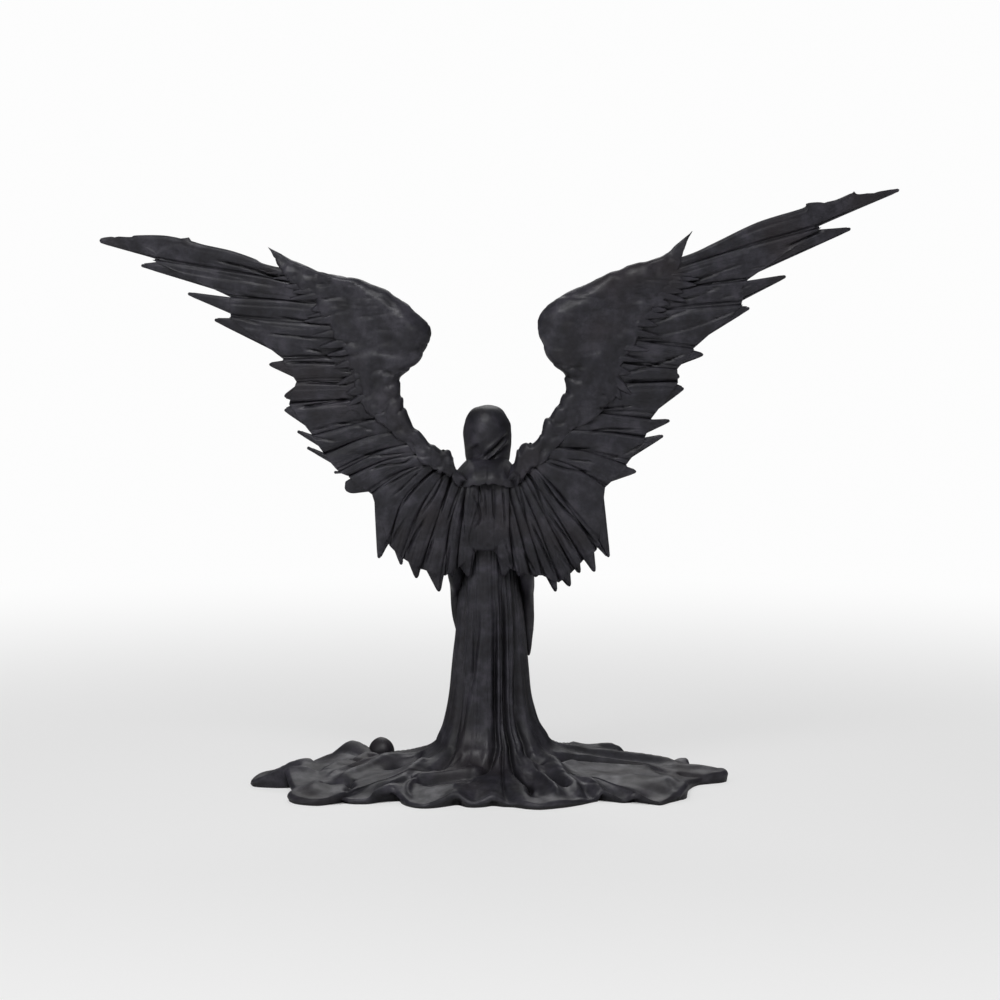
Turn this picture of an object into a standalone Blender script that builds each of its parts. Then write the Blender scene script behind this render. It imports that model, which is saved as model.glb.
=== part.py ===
"""Winged reaper figurine: one resin casting of a hooded robe, two spread wings and the pool of cloth it stands on.

Every size below is in millimetres. The figure looks along -Y, +X is its left hand, and the origin lies on the
flat underside, on the axis of the robe.
"""

import math

import bmesh
import bpy
import numpy as np

MM = 0.001

# The face: middle height, radius of the skull, and the half width and half height of the hood's mouth
FACE_MIDDLE = 163.5
FACE_RADIUS = 7.6
FACE_OPENING = (6.4, 9.4)
# The hollow behind the mouth, from outside the hood inwards: place along Y, and size against the mouth
HOOD_HOLLOW = ((-19.0, 1.25), (-12.0, 1.0), (-6.0, 0.9), (-2.0, 0.55))
# The hood, from the top down to the neck: height, middle (x, y), half width, half depth
HOOD = (
    (178.2, 0.7, -3.0, 2.4, 2.8),
    (177.3, 0.7, -3.0, 6.0, 7.2),
    (174.0, 0.7, -3.2, 8.9, 10.8),
    (169.3, 0.6, -3.2, 10.5, 12.6),
    (162.0, 0.6, -2.6, 10.8, 12.8),
    (155.0, 0.5, -1.8, 10.1, 11.6),
    (151.0, 0.4, -1.2, 9.5, 10.4),
    (146.0, 0.4, -1.0, 9.5, 10.0),
)
SHOULDER = (13.5, 1.0, 141.0)
# The mantle over the shoulders, downwards: height, half width, reach in front and behind, dip in front, rise behind
CAPE = (
    (152.0, 9.6, 10.5, 9.5, 0.0, 0.0),
    (149.0, 13.0, 12.0, 14.2, 1.0, 0.4),
    (144.0, 17.2, 14.0, 18.0, 4.0, 2.6),
    (139.0, 18.4, 15.6, 18.8, 9.0, 5.8),
    (138.2, 17.0, 13.6, 17.2, 9.0, 5.8),
)

# The robe's column, from the shoulders down to the foot: height, middle x, half width, half depth
COLUMN = (
    (149.0, 0.5, 9.0, 8.0),
    (142.0, 0.5, 16.0, 11.5),
    (128.0, 0.2, 15.8, 12.0),
    (104.0, -0.2, 12.6, 11.2),
    (82.0, -0.7, 14.4, 13.2),
    (60.0, -0.7, 16.6, 15.4),
    (42.0, -0.8, 18.6, 17.4),
    (29.0, -1.2, 21.8, 20.2),
    (20.5, -2.0, 26.0, 24.0),
)
# Sides of the robe and of the pool
AROUND = 56

# The pool of cloth, seen from above: hem points (x, y) anticlockwise from the figure's left
HEM = (
    (112, 4), (111, 16), (101, 20), (94, 21), (95, 36), (93, 50), (84, 60), (71, 64), (62, 58), (50, 63),
    (28, 66), (4, 68), (-20, 74), (-36, 71), (-52, 60), (-71, 55), (-88, 53), (-95, 42), (-95, 26), (-100, 14),
    (-110, 8), (-113.5, -1), (-110, -8), (-98, -12), (-94, -30), (-80, -44), (-58, -48), (-42, -60), (-14, -64),
    (6, -56), (30, -62), (52, -56), (68, -58), (84, -44), (92, -28), (104, -18), (110, -6),
)
HEM_THICKNESS = 4.6
HEM_UNDERCUT = 1.2
# Each ring of the pool: how far it lies from the foot to the hem, and its height
POOL = ((0.07, 15.0), (0.19, 10.6), (0.4, 8.0), (0.7, 6.6), (0.95, 5.4))
# Where the cloth rises over what it covers: (x, y), height and radius
MOUNDS = ((67, -40, 5.5, 11), (-56, -48, 3.0, 12), (-34, -46, 2.5, 11), (38, 52, 2.0, 10), (-46, 44, 2.5, 11))
# Folds: direction in degrees at the waist, the foot and the hem, then height on the column, in the pool, and width
FOLDS = (
    (8, 6, 6, 0.9, 3.0, 15),
    (33, 36, 24, 0.8, 3.4, 13),
    (58, 60, 47, 1.2, 3.4, 14),
    (80, 80, 68, 1.4, 2.6, 12),
    (97, 97, 88, 1.6, 3.2, 11),
    (114, 112, 112, 1.5, 2.8, 12),
    (132, 132, 136, 1.3, 3.4, 13),
    (152, 150, 158, 1.1, 3.0, 13),
    (176, 174, 178, 1.0, 2.8, 14),
    (200, 204, 206, 1.2, 3.6, 15),
    (226, 228, 236, 1.3, 3.0, 14),
    (250, 250, 262, 1.6, 3.0, 13),
    (275, 276, 282, 1.6, 3.2, 13),
    (300, 300, 304, 1.4, 3.4, 14),
    (328, 326, 326, 1.2, 3.6, 15),
    (350, 348, 346, 0.9, 3.0, 13),
)

# The wings' middle surface: how far it lies behind the robe's axis at the wrist, where the wrist is, how far from
# the axis the hollow between the wings is rounded, and how far beyond the wrist the wing comes forward to the axis
WING_BACK = 22.0
WRIST_OUT = 26.0
SPINE_ROUND = 6.0
WING_REACH = 160.0
# Below this height the fan leans forward, by this share of its fall, after a bend of this size. The lean is full
# from this far out
FAN_TOP = 131.0
FAN_LEAN = 0.3
FAN_BEND = 3.0
FAN_FULL_OUT = 12.0
FEATHER_THICKNESS = 3.4
FEATHER_LIFT = 1.9
FEATHER_OVERLAP = 1.6
TIP_THICKNESS = 1.5
# Share of the way to its tip at which a feather is cut off blunt
BLADE_END = 0.985

# Each wing, as (out from the axis, up from the floor):
#   "arm"      from the shoulder over the wrist to the last covert: the leading edge, then where the coverts end
#   "roots"    the line that the flight feathers start from, outermost first
#   "first"    the upper edge of the outermost primary
#   "feathers" each flight feather's tip, the notch between it and the next, and its bow, outermost first
LEFT_WING = {
    "side": 1,
    "arm": (
        ((10, 146), (8, 139)),
        ((15.2, 151.5), (14, 143)),
        ((17, 158.5), (20, 148.5)),
        ((23.5, 160.5), (29, 152.5)),
        ((31, 166.5), (37, 160)),
        ((39, 177), (46, 169)),
        ((39.6, 184), (54, 176.5)),
        ((40, 192), (61, 184)),
        ((34, 198), (63, 194)),
        ((28.5, 207.5), (67, 201.5)),
        ((26.8, 214), (72, 212)),
        ((29, 219), (75, 219.5)),
        ((35, 224.5), (79, 226)),
        ((44, 230.8), (85.5, 232)),
        ((57, 237), (89, 236.5)),
        ((72, 241), (94, 242)),
        ((88, 247), (96, 246.5)),
        ((100.5, 253.2), (99.6, 251.6)),
    ),
    "roots": ((70, 238), (62, 218), (52, 187), (38, 168), (28, 154), (18, 150), (6, 143)),
    "first": ((104, 245.6), (116, 252), (139, 258.4), (159, 258.4)),
    "feathers": (
        ((180.5, 256), (154, 245), 1),
        ((161.5, 244), (120, 228.5), 1),
        ((139.5, 231), (119, 219.5), 1),
        ((127, 219), (93.5, 200.5), 1),
        ((101.5, 198.5), (87.5, 190), 1),
        ((94.5, 183.5), (90.5, 180), 1),
        ((94.5, 177.5), (80, 165.5), 1),
        ((88.5, 167.5), (74.5, 157), 2),
        ((84, 160), (68, 149), 2),
        ((71.5, 148.5), (63, 147), 2),
        ((69, 140), (53, 139), 2),
        ((51, 108), (45, 115.5), 5),
        ((40.5, 105), (38.5, 109.5), 2),
        ((33.5, 98.5), (30, 104.5), 0.5),
        ((23, 92), (19.5, 101.5), 2),
        ((17, 99), (14, 105), 1),
        ((9, 98.5), (5, 113), 1),
    ),
}
RIGHT_WING = {
    "side": -1,
    "arm": (
        ((9, 146), (8, 139)),
        ((12, 154), (13.5, 142.5)),
        ((15, 161.5), (19, 148.5)),
        ((22, 164), (27, 154)),
        ((26, 172.3), (35, 164)),
        ((31, 179), (44, 171)),
        ((34.6, 186), (53, 178)),
        ((34.6, 194), (59.5, 186)),
        ((28.5, 201), (62, 196.5)),
        ((24, 210.5), (67, 206.5)),
        ((22.5, 217), (71.5, 215)),
        ((24.5, 222.6), (74, 223)),
        ((31, 228.2), (79.5, 226.5)),
        ((41.5, 234.6), (83.5, 232)),
        ((53.5, 239.8), (88.5, 236.8)),
        ((66, 244.6), (89.5, 241.5)),
        ((80, 249.6), (90, 247.5)),
        ((93.4, 260), (92.8, 258.4)),
    ),
    "roots": ((68, 242), (62, 222), (50, 192), (32, 161), (20, 151.5), (12, 147.5), (5, 143)),
    "first": ((92, 249), (104.5, 255.6), (124.5, 265), (146, 272.6), (168, 277.4)),
    "feathers": (
        ((191.5, 279), (154.5, 261), 1),
        ((168.5, 261), (120, 237), 1),
        ((138, 239), (115.5, 225.5), 1),
        ((121, 224.5), (93.5, 205.5), 1),
        ((99.5, 203), (86, 196), 1),
        ((88.5, 192.5), (86, 190), 1),
        ((90.5, 187.5), (74, 173), 1),
        ((84, 172.5), (71, 164.5), 2),
        ((81, 165.5), (62.5, 152), 2),
        ((68.5, 149), (53, 142), 2),
        ((56, 108.5), (49, 113.5), 1),
        ((49.5, 101.5), (42.5, 108.5), 0),
        ((42.5, 101), (38, 103.5), 0),
        ((38, 94.5), (32, 98.5), 0),
        ((31.5, 92), (24.5, 101.5), 0),
        ((22, 99), (18.5, 102), 0),
        ((14.5, 99), (11, 104), 0),
        ((7, 99), (2.5, 112.5), 1),
    ),
}

# Broad feathers that close the fan over the spine, from one root height down to the arch over the robe: x at the
# root, x at the tip, height of the tip, half width, and how far they stand behind the fan
SPINE_ROOT = 146.0
SPINE_FEATHERS = (
    (6.6, 10.0, 117.0, 2.6, 1.2),
    (5.4, 5.6, 112.5, 4.6, 0.5),
    (0.6, 1.4, 111.5, 4.2, 0.9),
    (-4.6, -3.2, 112.5, 4.6, 0.5),
)

# Arms: elbow, wrist and fingertips of each side, as (towards that side, back, up); how far the sleeve hangs below the
# forearm, and how far its hem swings out. The right hand lies over the left one
ARMS = (
    {"side": 1, "elbow": (16.0, 3.0, 107.0), "wrist": (8.0, -19.0, 104.5), "fingertips": (-6.0, -21.6, 92.5),
     "drop": 38.0, "swing": 0.5},
    {"side": -1, "elbow": (17.6, 3.0, 107.0), "wrist": (8.5, -21.0, 105.0), "fingertips": (-5.5, -25.4, 93.5),
     "drop": 47.0, "swing": 5.0},
)
FINGER_RADIUS = 1.0

# A skull lies in the folds at the figure's left foot
GROUND_SKULL = (52.0, -38.0, 8.0)
GROUND_SKULL_RADIUS = 7.0


def smoothstep(low, high, x):
    t = np.clip((x - low) / (high - low), 0.0, 1.0)
    return t * t * (3.0 - 2.0 * t)


def spline(points, share, closed=False):
    """Points of a Catmull-Rom curve through the given ones, at shares from 0 to 1 of its knots."""
    knots = np.array(points, float)
    share = np.asarray(share, float)
    if closed:
        knots = np.vstack([knots[-1:], knots, knots[:2]])
    else:
        knots = np.vstack([2 * knots[0] - knots[1], knots, 2 * knots[-1] - knots[-2]])
    spans = len(knots) - 3
    place = np.clip(share, 0.0, 1.0) * spans
    first = np.minimum(place.astype(int), spans - 1)
    t = (place - first)[..., None]
    a, b, c, d = (knots[first + i] for i in range(4))
    return 0.5 * (2 * b + (c - a) * t + (2 * a - 5 * b + 4 * c - d) * t**2 + (3 * b - a - 3 * c + d) * t**3)


def loft(name, rings, collection):
    """A closed solid through rings of equal count, with a flat fan over each end."""
    rings = np.asarray(rings, float)
    count, around, _ = rings.shape
    mesh = bmesh.new()
    rows = [[mesh.verts.new(point * MM) for point in ring] for ring in rings]
    for lower, upper in zip(rows, rows[1:]):
        for i in range(around):
            j = (i + 1) % around
            mesh.faces.new((lower[i], lower[j], upper[j]))
            mesh.faces.new((lower[i], upper[j], upper[i]))
    for row, turn in ((rows[0], -1), (rows[-1], 1)):
        middle = mesh.verts.new(sum((vert.co for vert in row), start=row[0].co * 0) / around)
        for i in range(around):
            corners = (row[i], row[(i + 1) % around], middle)
            mesh.faces.new(corners[::turn])
    bmesh.ops.recalc_face_normals(mesh, faces=mesh.faces)
    data = bpy.data.meshes.new(name)
    mesh.to_mesh(data)
    mesh.free()
    solid = bpy.data.objects.new(name, data)
    collection.objects.link(solid)
    return solid


def ellipse(middle, half_width, half_depth, around):
    """A level ring of the given half sizes."""
    angle = np.linspace(0.0, 2 * math.pi, around, endpoint=False)
    x, y, z = middle
    return np.stack([x + half_width * np.cos(angle), y + half_depth * np.sin(angle), np.full(around, z)], axis=1)


def folds_at(angle, column_share):
    """Height of the folds at angles in degrees. column_share is 0 at the waist, 1 at the foot and 2 at the hem."""
    height = np.zeros_like(angle)
    for waist, foot, hem, on_column, in_pool, width in FOLDS:
        middle = np.interp(column_share, [0.0, 1.0, 2.0], [waist, foot, hem])
        tall = np.interp(column_share, [0.0, 0.3, 1.0], [0.2, 0.8, 1.0])
        tall *= np.interp(column_share, [1.0, 1.4, 2.0], [on_column, in_pool, 0.8 * in_pool])
        away = (angle - middle + 180.0) % 360.0 - 180.0
        height += tall * np.exp(-((away / (0.5 * width)) ** 2))
    return height


def gown(collection):
    """The robe from the shoulders down, and the pool it spreads into, as one lofted solid."""
    hem = spline(HEM, np.linspace(0.0, 1.0, AROUND, endpoint=False), closed=True)
    half_length, half_width = np.abs(hem).max(axis=0)
    direction = np.unwrap(np.arctan2(hem[:, 1] / half_width, hem[:, 0] / half_length))
    # Even out the steps between directions, so that the column's rings never turn back on themselves
    wander = direction - np.arange(AROUND) * 2 * math.pi / AROUND
    direction -= wander - sum(np.roll(wander, k) for k in range(-3, 4)) / 7
    degrees = np.degrees(direction)
    outward = np.stack([np.cos(direction), np.sin(direction)], axis=1)
    top, foot = COLUMN[0][0], COLUMN[-1][0]
    rings = []
    for height, middle, wide, deep in COLUMN:
        fold = folds_at(degrees, (top - height) / (top - foot))
        plan = outward * (np.array([wide, deep]) + fold[:, None]) + (middle, 0.0)
        rings.append(np.column_stack([plan, np.full(AROUND, height)]))
    _, middle, wide, deep = COLUMN[-1]
    foot_plan = outward * (wide, deep) + (middle, 0.0)
    for share, height in POOL:
        fold = folds_at(degrees, 1.0 + share)
        out = outward * (fold * (1.0 - share))[:, None]
        plan = foot_plan * (1.0 - share) + hem * share + out
        level = height + fold * smoothstep(0.0, 0.3, share)
        for x, y, rise, radius in MOUNDS:
            away = np.hypot(plan[:, 0] - x, plan[:, 1] - y)
            level += rise * np.exp(-((away / radius) ** 2))
        rings.append(np.column_stack([plan, level]))
    crest = HEM_THICKNESS + 0.8 * folds_at(degrees, 2.0)
    rings.append(np.column_stack([hem, 0.62 * crest]))
    under = hem * (1.0 - HEM_UNDERCUT / np.linalg.norm(hem, axis=1, keepdims=True))
    rings.append(np.column_stack([under, np.zeros(AROUND)]))
    return loft("gown", rings, collection)


def hood(collection):
    """The hood's outer shape, down to the neck."""
    rings = [ellipse((x, y, height), wide, deep, 18) for height, x, y, wide, deep in HOOD]
    return loft("hood", rings, collection)


def hood_hollow(collection):
    """The cutter that opens the hood in front: an oval mouth that narrows towards the back."""
    rings = []
    middle = HOOD[4][1]
    for y, scale in HOOD_HOLLOW:
        oval = ellipse((0.0, 0.0, 0.0), FACE_OPENING[0] * scale, FACE_OPENING[1] * scale, 14)
        rings.append(np.column_stack([middle + oval[:, 0], np.full(14, y), FACE_MIDDLE + oval[:, 1]]))
    return loft("hood_hollow", rings, collection)


def skull_radius(direction):
    """How far a skull's surface lies from its middle along unit directions. Its face looks along -Y."""
    x, y, z = direction.T
    front = np.clip(-y, 0.0, 1.0)
    radius = 1.0 + 0.05 * z - 0.12 * np.abs(x)
    radius += 0.28 * np.exp(-(((z + 0.78) / 0.3) ** 2)) * front * 1.5
    for side in (1, -1):
        eye = (x - side * 0.36) ** 2 / 0.2**2 + (z + 0.08) ** 2 / 0.18**2
        radius -= 0.3 * np.exp(-(eye**2)) * (y < 0)
        cheek = (x - side * 0.5) ** 2 + (z + 0.42) ** 2
        radius += 0.1 * np.exp(-cheek / 0.025) * (y < 0)
    nose = (x / 0.1) ** 2 + ((z + 0.4) / 0.13) ** 2
    radius -= 0.16 * np.exp(-(nose**2)) * (y < 0)
    return radius


def skull(name, middle, size, turn, collection, around=12, rows=8):
    """A skull of the given radius. turn is its heading in degrees from -Y, anticlockwise from above."""
    rings = []
    for tilt in np.linspace(-84.0, 84.0, rows):
        angle = np.linspace(0.0, 2 * math.pi, around, endpoint=False) - 0.5 * math.pi
        z = math.sin(math.radians(tilt))
        level = math.cos(math.radians(tilt))
        unit = np.stack([level * np.cos(angle), level * np.sin(angle), np.full(around, z)], axis=1)
        rings.append(unit * skull_radius(unit)[:, None] * size)
    c, s = math.cos(math.radians(turn)), math.sin(math.radians(turn))
    spin = np.array([[c, s, 0.0], [-s, c, 0.0], [0.0, 0.0, 1.0]])
    return loft(name, np.array(rings) @ spin + np.array(middle), collection)


def cape(collection):
    """The short mantle that lies over the shoulders and the roots of the wings, longer in front."""
    rings = []
    for height, wide, front, back, dip, rise in CAPE:
        ring = ellipse((0.5, 0.0, height), wide, 1.0, 28)
        ahead, behind = np.clip(-ring[:, 1], 0.0, 1.0), np.clip(ring[:, 1], 0.0, 1.0)
        ring[:, 1] *= np.where(ring[:, 1] > 0, back, front)
        ring[:, 2] += rise * behind**1.5 - dip * ahead**1.5
        rings.append(ring)
    return loft("cape", rings, collection)


def wing_depth(out, up):
    """How far back the wing's middle surface lies: it comes forward at the shoulder, the tip and the fan's edge."""
    out = np.hypot(out, SPINE_ROUND)
    inner = 0.0145 * np.maximum(0.0, WRIST_OUT - out) ** 2
    outer = WING_BACK * (np.maximum(0.0, out - WRIST_OUT) / WING_REACH) ** 1.5
    below = np.maximum(0.0, FAN_TOP - up)
    fan = FAN_LEAN * (np.hypot(below, FAN_BEND) - FAN_BEND) * np.minimum(1.0, out / FAN_FULL_OUT)
    return WING_BACK - inner - outer - fan


def on_wing(side, plan, off):
    """Wing outline points turned into places in space, off being the distance behind the middle surface."""
    out, up = plan[..., 0], plan[..., 1]
    return np.stack([side * out, wing_depth(out, up) + off, up], axis=-1)


def blade(name, side, front_edge, rear_edge, collection, steps, thick, lift, above=0.0):
    """A flight feather between two edge curves: a bowed slab, its front edge lifted over the feather before it."""
    # Across the feather, from edge to edge and back again: share of the width, and which face
    section = ((0.0, 0.0), (0.12, 0.9), (0.8, 0.9), (1.0, 0.0), (0.75, -0.9), (0.15, -0.9))
    across = np.array([c for c, _ in section])
    face = np.array([f for _, f in section])
    rings = []
    for share in np.linspace(0.0, BLADE_END, steps):
        front, rear = spline(front_edge, share), spline(rear_edge, share)
        half = 0.5 * (thick + (TIP_THICKNESS - thick) * share)
        tilt = lift * (1.0 - share**2)
        plan = front + (rear - front) * across[:, None]
        rings.append(on_wing(side, plan, above + tilt * (0.5 - across) + face * half))
    return loft(name, rings, collection)


def flight_feathers(wing, collection):
    """All flight feathers of a wing, from the outermost primary down to the last one of the fan at the spine."""
    side = wing["side"]
    feathers = wing["feathers"]
    last = len(feathers) - 1
    upper = wing["first"]
    for i, (tip, notch, bow) in enumerate(feathers):
        place = i / last
        front_root = spline(wing["roots"], place - 0.25 / last)
        rear_root = spline(wing["roots"], place + 1.3 / last)
        tip = np.array(tip, float)
        notch = np.array(notch, float)
        along = notch - rear_root
        outward = np.array([-along[1], along[0]]) / np.linalg.norm(along)
        middle = rear_root + 0.5 * along + bow * outward
        blade(f"feather_{side}_{i}", side, [front_root, *upper, tip], [rear_root, middle, notch, tip],
              collection, 5, FEATHER_THICKNESS, FEATHER_LIFT)
        upper = (middle + FEATHER_OVERLAP * outward, notch + FEATHER_OVERLAP * outward)


def spine_feathers(collection):
    """The narrow feathers that close the fan over the middle of the back."""
    for i, (root, tip, height, half, behind) in enumerate(SPINE_FEATHERS):
        rings = []
        for share, width in ((0.0, 0.8), (0.35, 1.0), (0.7, 0.9), (1.0, 0.3)):
            x, z = root + (tip - root) * share, SPINE_ROOT + (height - SPINE_ROOT) * share
            half_thick = 1.8 - share
            y = wing_depth(abs(x), z) + behind
            flat = ((-1.0, 0.0), (-0.6, 1.0), (0.6, 1.0), (1.0, 0.0), (0.6, -1.0), (-0.6, -1.0))
            rings.append([(x + half * width * a, y + half_thick * b, z) for a, b in flat])
        loft(f"spine_feather_{i}", rings, collection)


def wing_arm(wing, collection, along=18):
    """The arm and its smooth coverts: thick and round along the leading edge, thin where it ends on the feathers."""
    leading = [edge for edge, _ in wing["arm"]]
    coverts = [edge for _, edge in wing["arm"]]
    rings = []
    for share in np.linspace(0.0, 1.0, along):
        front, rear = spline(leading, share), spline(coverts, share)
        wrist = math.exp(-(((share - 0.6) / 0.2) ** 2))
        outer = smoothstep(0.75, 1.0, share)
        back = 3.6 + 4.0 * wrist - 1.4 * outer
        fore = 2.8 + 2.4 * wrist - 0.8 * outer
        # Across the arm, from the leading edge over the back to the covert edge, and home along the front
        section = (
            (0.0, 0.0), (0.05, 0.6 * back), (0.25, back), (0.65, 0.4 * back + 2.2),
            (1.0, 2.7), (0.97, -0.4), (0.6, -0.7 * fore), (0.15, -fore),
        )
        across = np.array([c for c, _ in section])
        off = np.array([o for _, o in section])
        rings.append(on_wing(wing["side"], front + (rear - front) * across[:, None], off))
    return loft(f"arm_{wing['side']}", rings, collection)


def covert_tips(wing, collection, places=(0.48, 0.61, 0.74, 0.87)):
    """Pointed covert feathers that break up the edge of the arm."""
    side = wing["side"]
    leading = [edge for edge, _ in wing["arm"]]
    coverts = [edge for _, edge in wing["arm"]]
    for i, share in enumerate(places):
        edge, ahead, inner = spline(coverts, share), spline(coverts, share + 0.08), spline(leading, share)
        across = (edge - inner) / np.linalg.norm(edge - inner)
        width = 0.35 * (spline(coverts, share - 0.05) - ahead)
        tip = edge + 1.1 * (ahead - edge) + 4.0 * across
        root = edge - 7.0 * across
        blade(f"covert_{side}_{i}", side, [root - width, edge - width + across, tip],
              [root + width, edge + width + across, tip], collection, 4, 2.6, 0.3, above=1.7)


def sleeve(arm, collection):
    """A wide sleeve: round at the shoulder and the elbow, then hanging in a long point below the forearm."""
    side = arm["side"]
    shoulder, elbow, wrist = np.array(SHOULDER), np.array(arm["elbow"]), np.array(arm["wrist"])
    # Place along the arm, half width, reach above the arm's line, share of the drop below it
    stations = (
        (shoulder, 4.5, 4.0, 0.12),
        (0.5 * (shoulder + elbow) + (0.8, 0.0, 0.0), 4.6, 4.0, 0.12),
        (elbow + (0.0, 2.6, 3.0), 4.4, 4.5, 0.14),
        (0.85 * elbow + 0.15 * wrist, 4.6, 5.0, 0.5),
        (0.62 * elbow + 0.38 * wrist, 4.8, 4.8, 1.0),
        (0.3 * elbow + 0.7 * wrist, 4.4, 4.4, 0.62),
        (wrist, 3.8, 3.8, 0.2),
    )
    angle = np.linspace(0.0, 2 * math.pi, 10, endpoint=False)
    up, across = np.sin(angle), np.cos(angle)
    rings = []
    for i, (place, wide, rise, share) in enumerate(stations):
        level = np.array([0.0, 0.0, 1.0]) if i > 2 else np.array([0.0, -1.0, 0.6])
        reach = np.where(up > 0, rise, share * arm["drop"]) * up
        ring = place + reach[:, None] * level
        ring[:, 0] += across * wide + arm["swing"] * np.clip(-reach / arm["drop"], 0.0, 1.0)
        ring[:, 0] *= side
        rings.append(ring)
    return loft(f"sleeve_{side}", rings, collection)


def rod(name, points, radii, collection, around=5):
    """A round rod through points in space, with a radius at each."""
    points = np.array(points, float)
    rings = []
    for i, (point, radius) in enumerate(zip(points, radii)):
        along = points[min(i + 1, len(points) - 1)] - points[max(i - 1, 0)]
        along /= np.linalg.norm(along)
        flat = np.cross(along, (1.0, 0.0, 0.25))
        flat /= np.linalg.norm(flat)
        other = np.cross(along, flat)
        angle = np.linspace(0.0, 2 * math.pi, around, endpoint=False)
        rings.append(point + radius * (np.cos(angle)[:, None] * flat + np.sin(angle)[:, None] * other))
    return loft(name, rings, collection)


def hand(arm, collection):
    """A bony hand that leaves the sleeve's mouth and lies across the body: palm, four fingers and a thumb."""
    side = arm["side"]
    wrist = np.array(arm["wrist"]) * (side, 1, 1)
    tips = np.array(arm["fingertips"]) * (side, 1, 1)
    reach = tips - wrist
    ahead = reach / np.linalg.norm(reach)
    broad = np.cross(ahead, (0.0, 1.0, 0.0))
    broad /= np.linalg.norm(broad)
    out = np.array([0.0, -1.0, 0.0])
    palm = wrist + 0.34 * reach
    rod(f"palm_{side}", [wrist - 5.0 * ahead + (0, 2.5, 0), wrist + out * 0.4, palm], [2.3, 2.1, 2.7], collection, 8)
    for i in range(4):
        apart = (i - 1.5) * 1.45 * broad
        size = (0.9, 1.0, 1.02, 0.92)[i]
        joints = [wrist + 0.22 * reach + 0.6 * apart, palm + 0.08 * reach + 1.05 * apart + out * 0.9,
                  wrist + 0.74 * size * reach + 1.15 * apart + out * 1.1, wrist + size * reach + 1.1 * apart]
        rod(f"finger_{side}_{i}", joints, FINGER_RADIUS * np.array([1.1, 1.05, 0.95, 0.6]), collection)
    thumb = [wrist + 0.1 * reach + broad * 1.2 * side, palm + broad * 3.4 * side + out * 0.5,
             palm + 0.26 * reach + broad * 4.2 * side + out * 0.6]
    rod(f"thumb_{side}", thumb, FINGER_RADIUS * np.array([1.2, 1.0, 0.65]), collection)


def resin_black():
    """Satin black casting resin."""
    material = bpy.data.materials.new("black_resin")
    material.use_nodes = True
    shader = material.node_tree.nodes["Principled BSDF"]
    shader.inputs["Base Color"].default_value = (0.014, 0.0135, 0.016, 1.0)
    shader.inputs["Roughness"].default_value = 0.5
    shader.inputs["Metallic"].default_value = 0.0
    return material


def helper_collection(name):
    collection = bpy.data.collections.new(name)
    bpy.context.scene.collection.children.link(collection)
    collection.hide_render = True
    return collection


def boolean(target, operation, **operand):
    """Adds a Boolean with the given operand, which is either object=..., or operand_type and collection."""
    modifier = target.modifiers.new(operation.title(), "BOOLEAN")
    modifier.operation = operation
    modifier.solver = "EXACT"
    for key, value in operand.items():
        setattr(modifier, key, value)


def build():
    for leftover in list(bpy.data.objects):
        bpy.data.objects.remove(leftover)
    shapes = helper_collection("joined_shapes")
    cutters = helper_collection("cutters")

    gown(shapes)
    cape(shapes)
    for wing in (LEFT_WING, RIGHT_WING):
        wing_arm(wing, shapes)
        flight_feathers(wing, shapes)
        covert_tips(wing, shapes)
    spine_feathers(shapes)
    for arm in ARMS:
        sleeve(arm, shapes)
        hand(arm, shapes)
    skull("face", (HOOD[4][1], -4.5, FACE_MIDDLE), FACE_RADIUS, 0.0, shapes)
    skull("ground_skull", GROUND_SKULL, GROUND_SKULL_RADIUS, 30.0, shapes)
    hollow = hood_hollow(cutters)

    figure = hood(bpy.context.scene.collection)
    figure.name = "winged_reaper"
    figure.data.materials.append(resin_black())
    boolean(figure, "DIFFERENCE", object=hollow)
    boolean(figure, "UNION", operand_type="COLLECTION", collection=shapes)
    for helper in (*shapes.objects, *cutters.objects):
        helper.hide_render = True
        helper.display_type = "WIRE"


build()
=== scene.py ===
import math

import bpy
import numpy as np
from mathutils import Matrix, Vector


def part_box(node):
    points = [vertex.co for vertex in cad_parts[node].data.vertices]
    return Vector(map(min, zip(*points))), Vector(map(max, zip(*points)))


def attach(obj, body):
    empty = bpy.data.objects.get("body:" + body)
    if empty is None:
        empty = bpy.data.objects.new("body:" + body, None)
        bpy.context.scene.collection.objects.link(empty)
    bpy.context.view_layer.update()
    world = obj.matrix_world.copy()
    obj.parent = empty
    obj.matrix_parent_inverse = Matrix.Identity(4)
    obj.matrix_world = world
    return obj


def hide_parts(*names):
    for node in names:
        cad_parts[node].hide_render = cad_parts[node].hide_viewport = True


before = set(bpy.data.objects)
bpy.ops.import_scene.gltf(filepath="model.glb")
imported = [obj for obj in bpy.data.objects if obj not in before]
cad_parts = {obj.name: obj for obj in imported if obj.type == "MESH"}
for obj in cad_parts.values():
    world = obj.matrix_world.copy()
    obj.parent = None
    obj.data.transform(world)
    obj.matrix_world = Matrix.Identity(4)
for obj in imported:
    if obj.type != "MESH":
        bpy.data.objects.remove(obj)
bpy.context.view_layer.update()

# Winged reaper figurine, cast in black resin. Tables are in millimetres: the figure looks along -Y, +X is its
# left hand, and the underside is at height 0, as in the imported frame.

mm = 0.001
reaperLow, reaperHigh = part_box("winged_reaper")
stature = (reaperHigh.z - reaperLow.z) / mm  # floor to the taller wing tip
sharpEdge = 62.0  # degrees; an edge that turns by more shades as a hard one


def ease(low, high, x):
    t = np.clip((x - low) / (high - low), 0.0, 1.0)
    return t * t * (3.0 - 2.0 * t)


def bump(x, middle, width):
    return np.exp(-(((x - middle) / width) ** 2))


def unit(vectors):
    return vectors / np.linalg.norm(vectors, axis=-1, keepdims=True)


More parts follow.
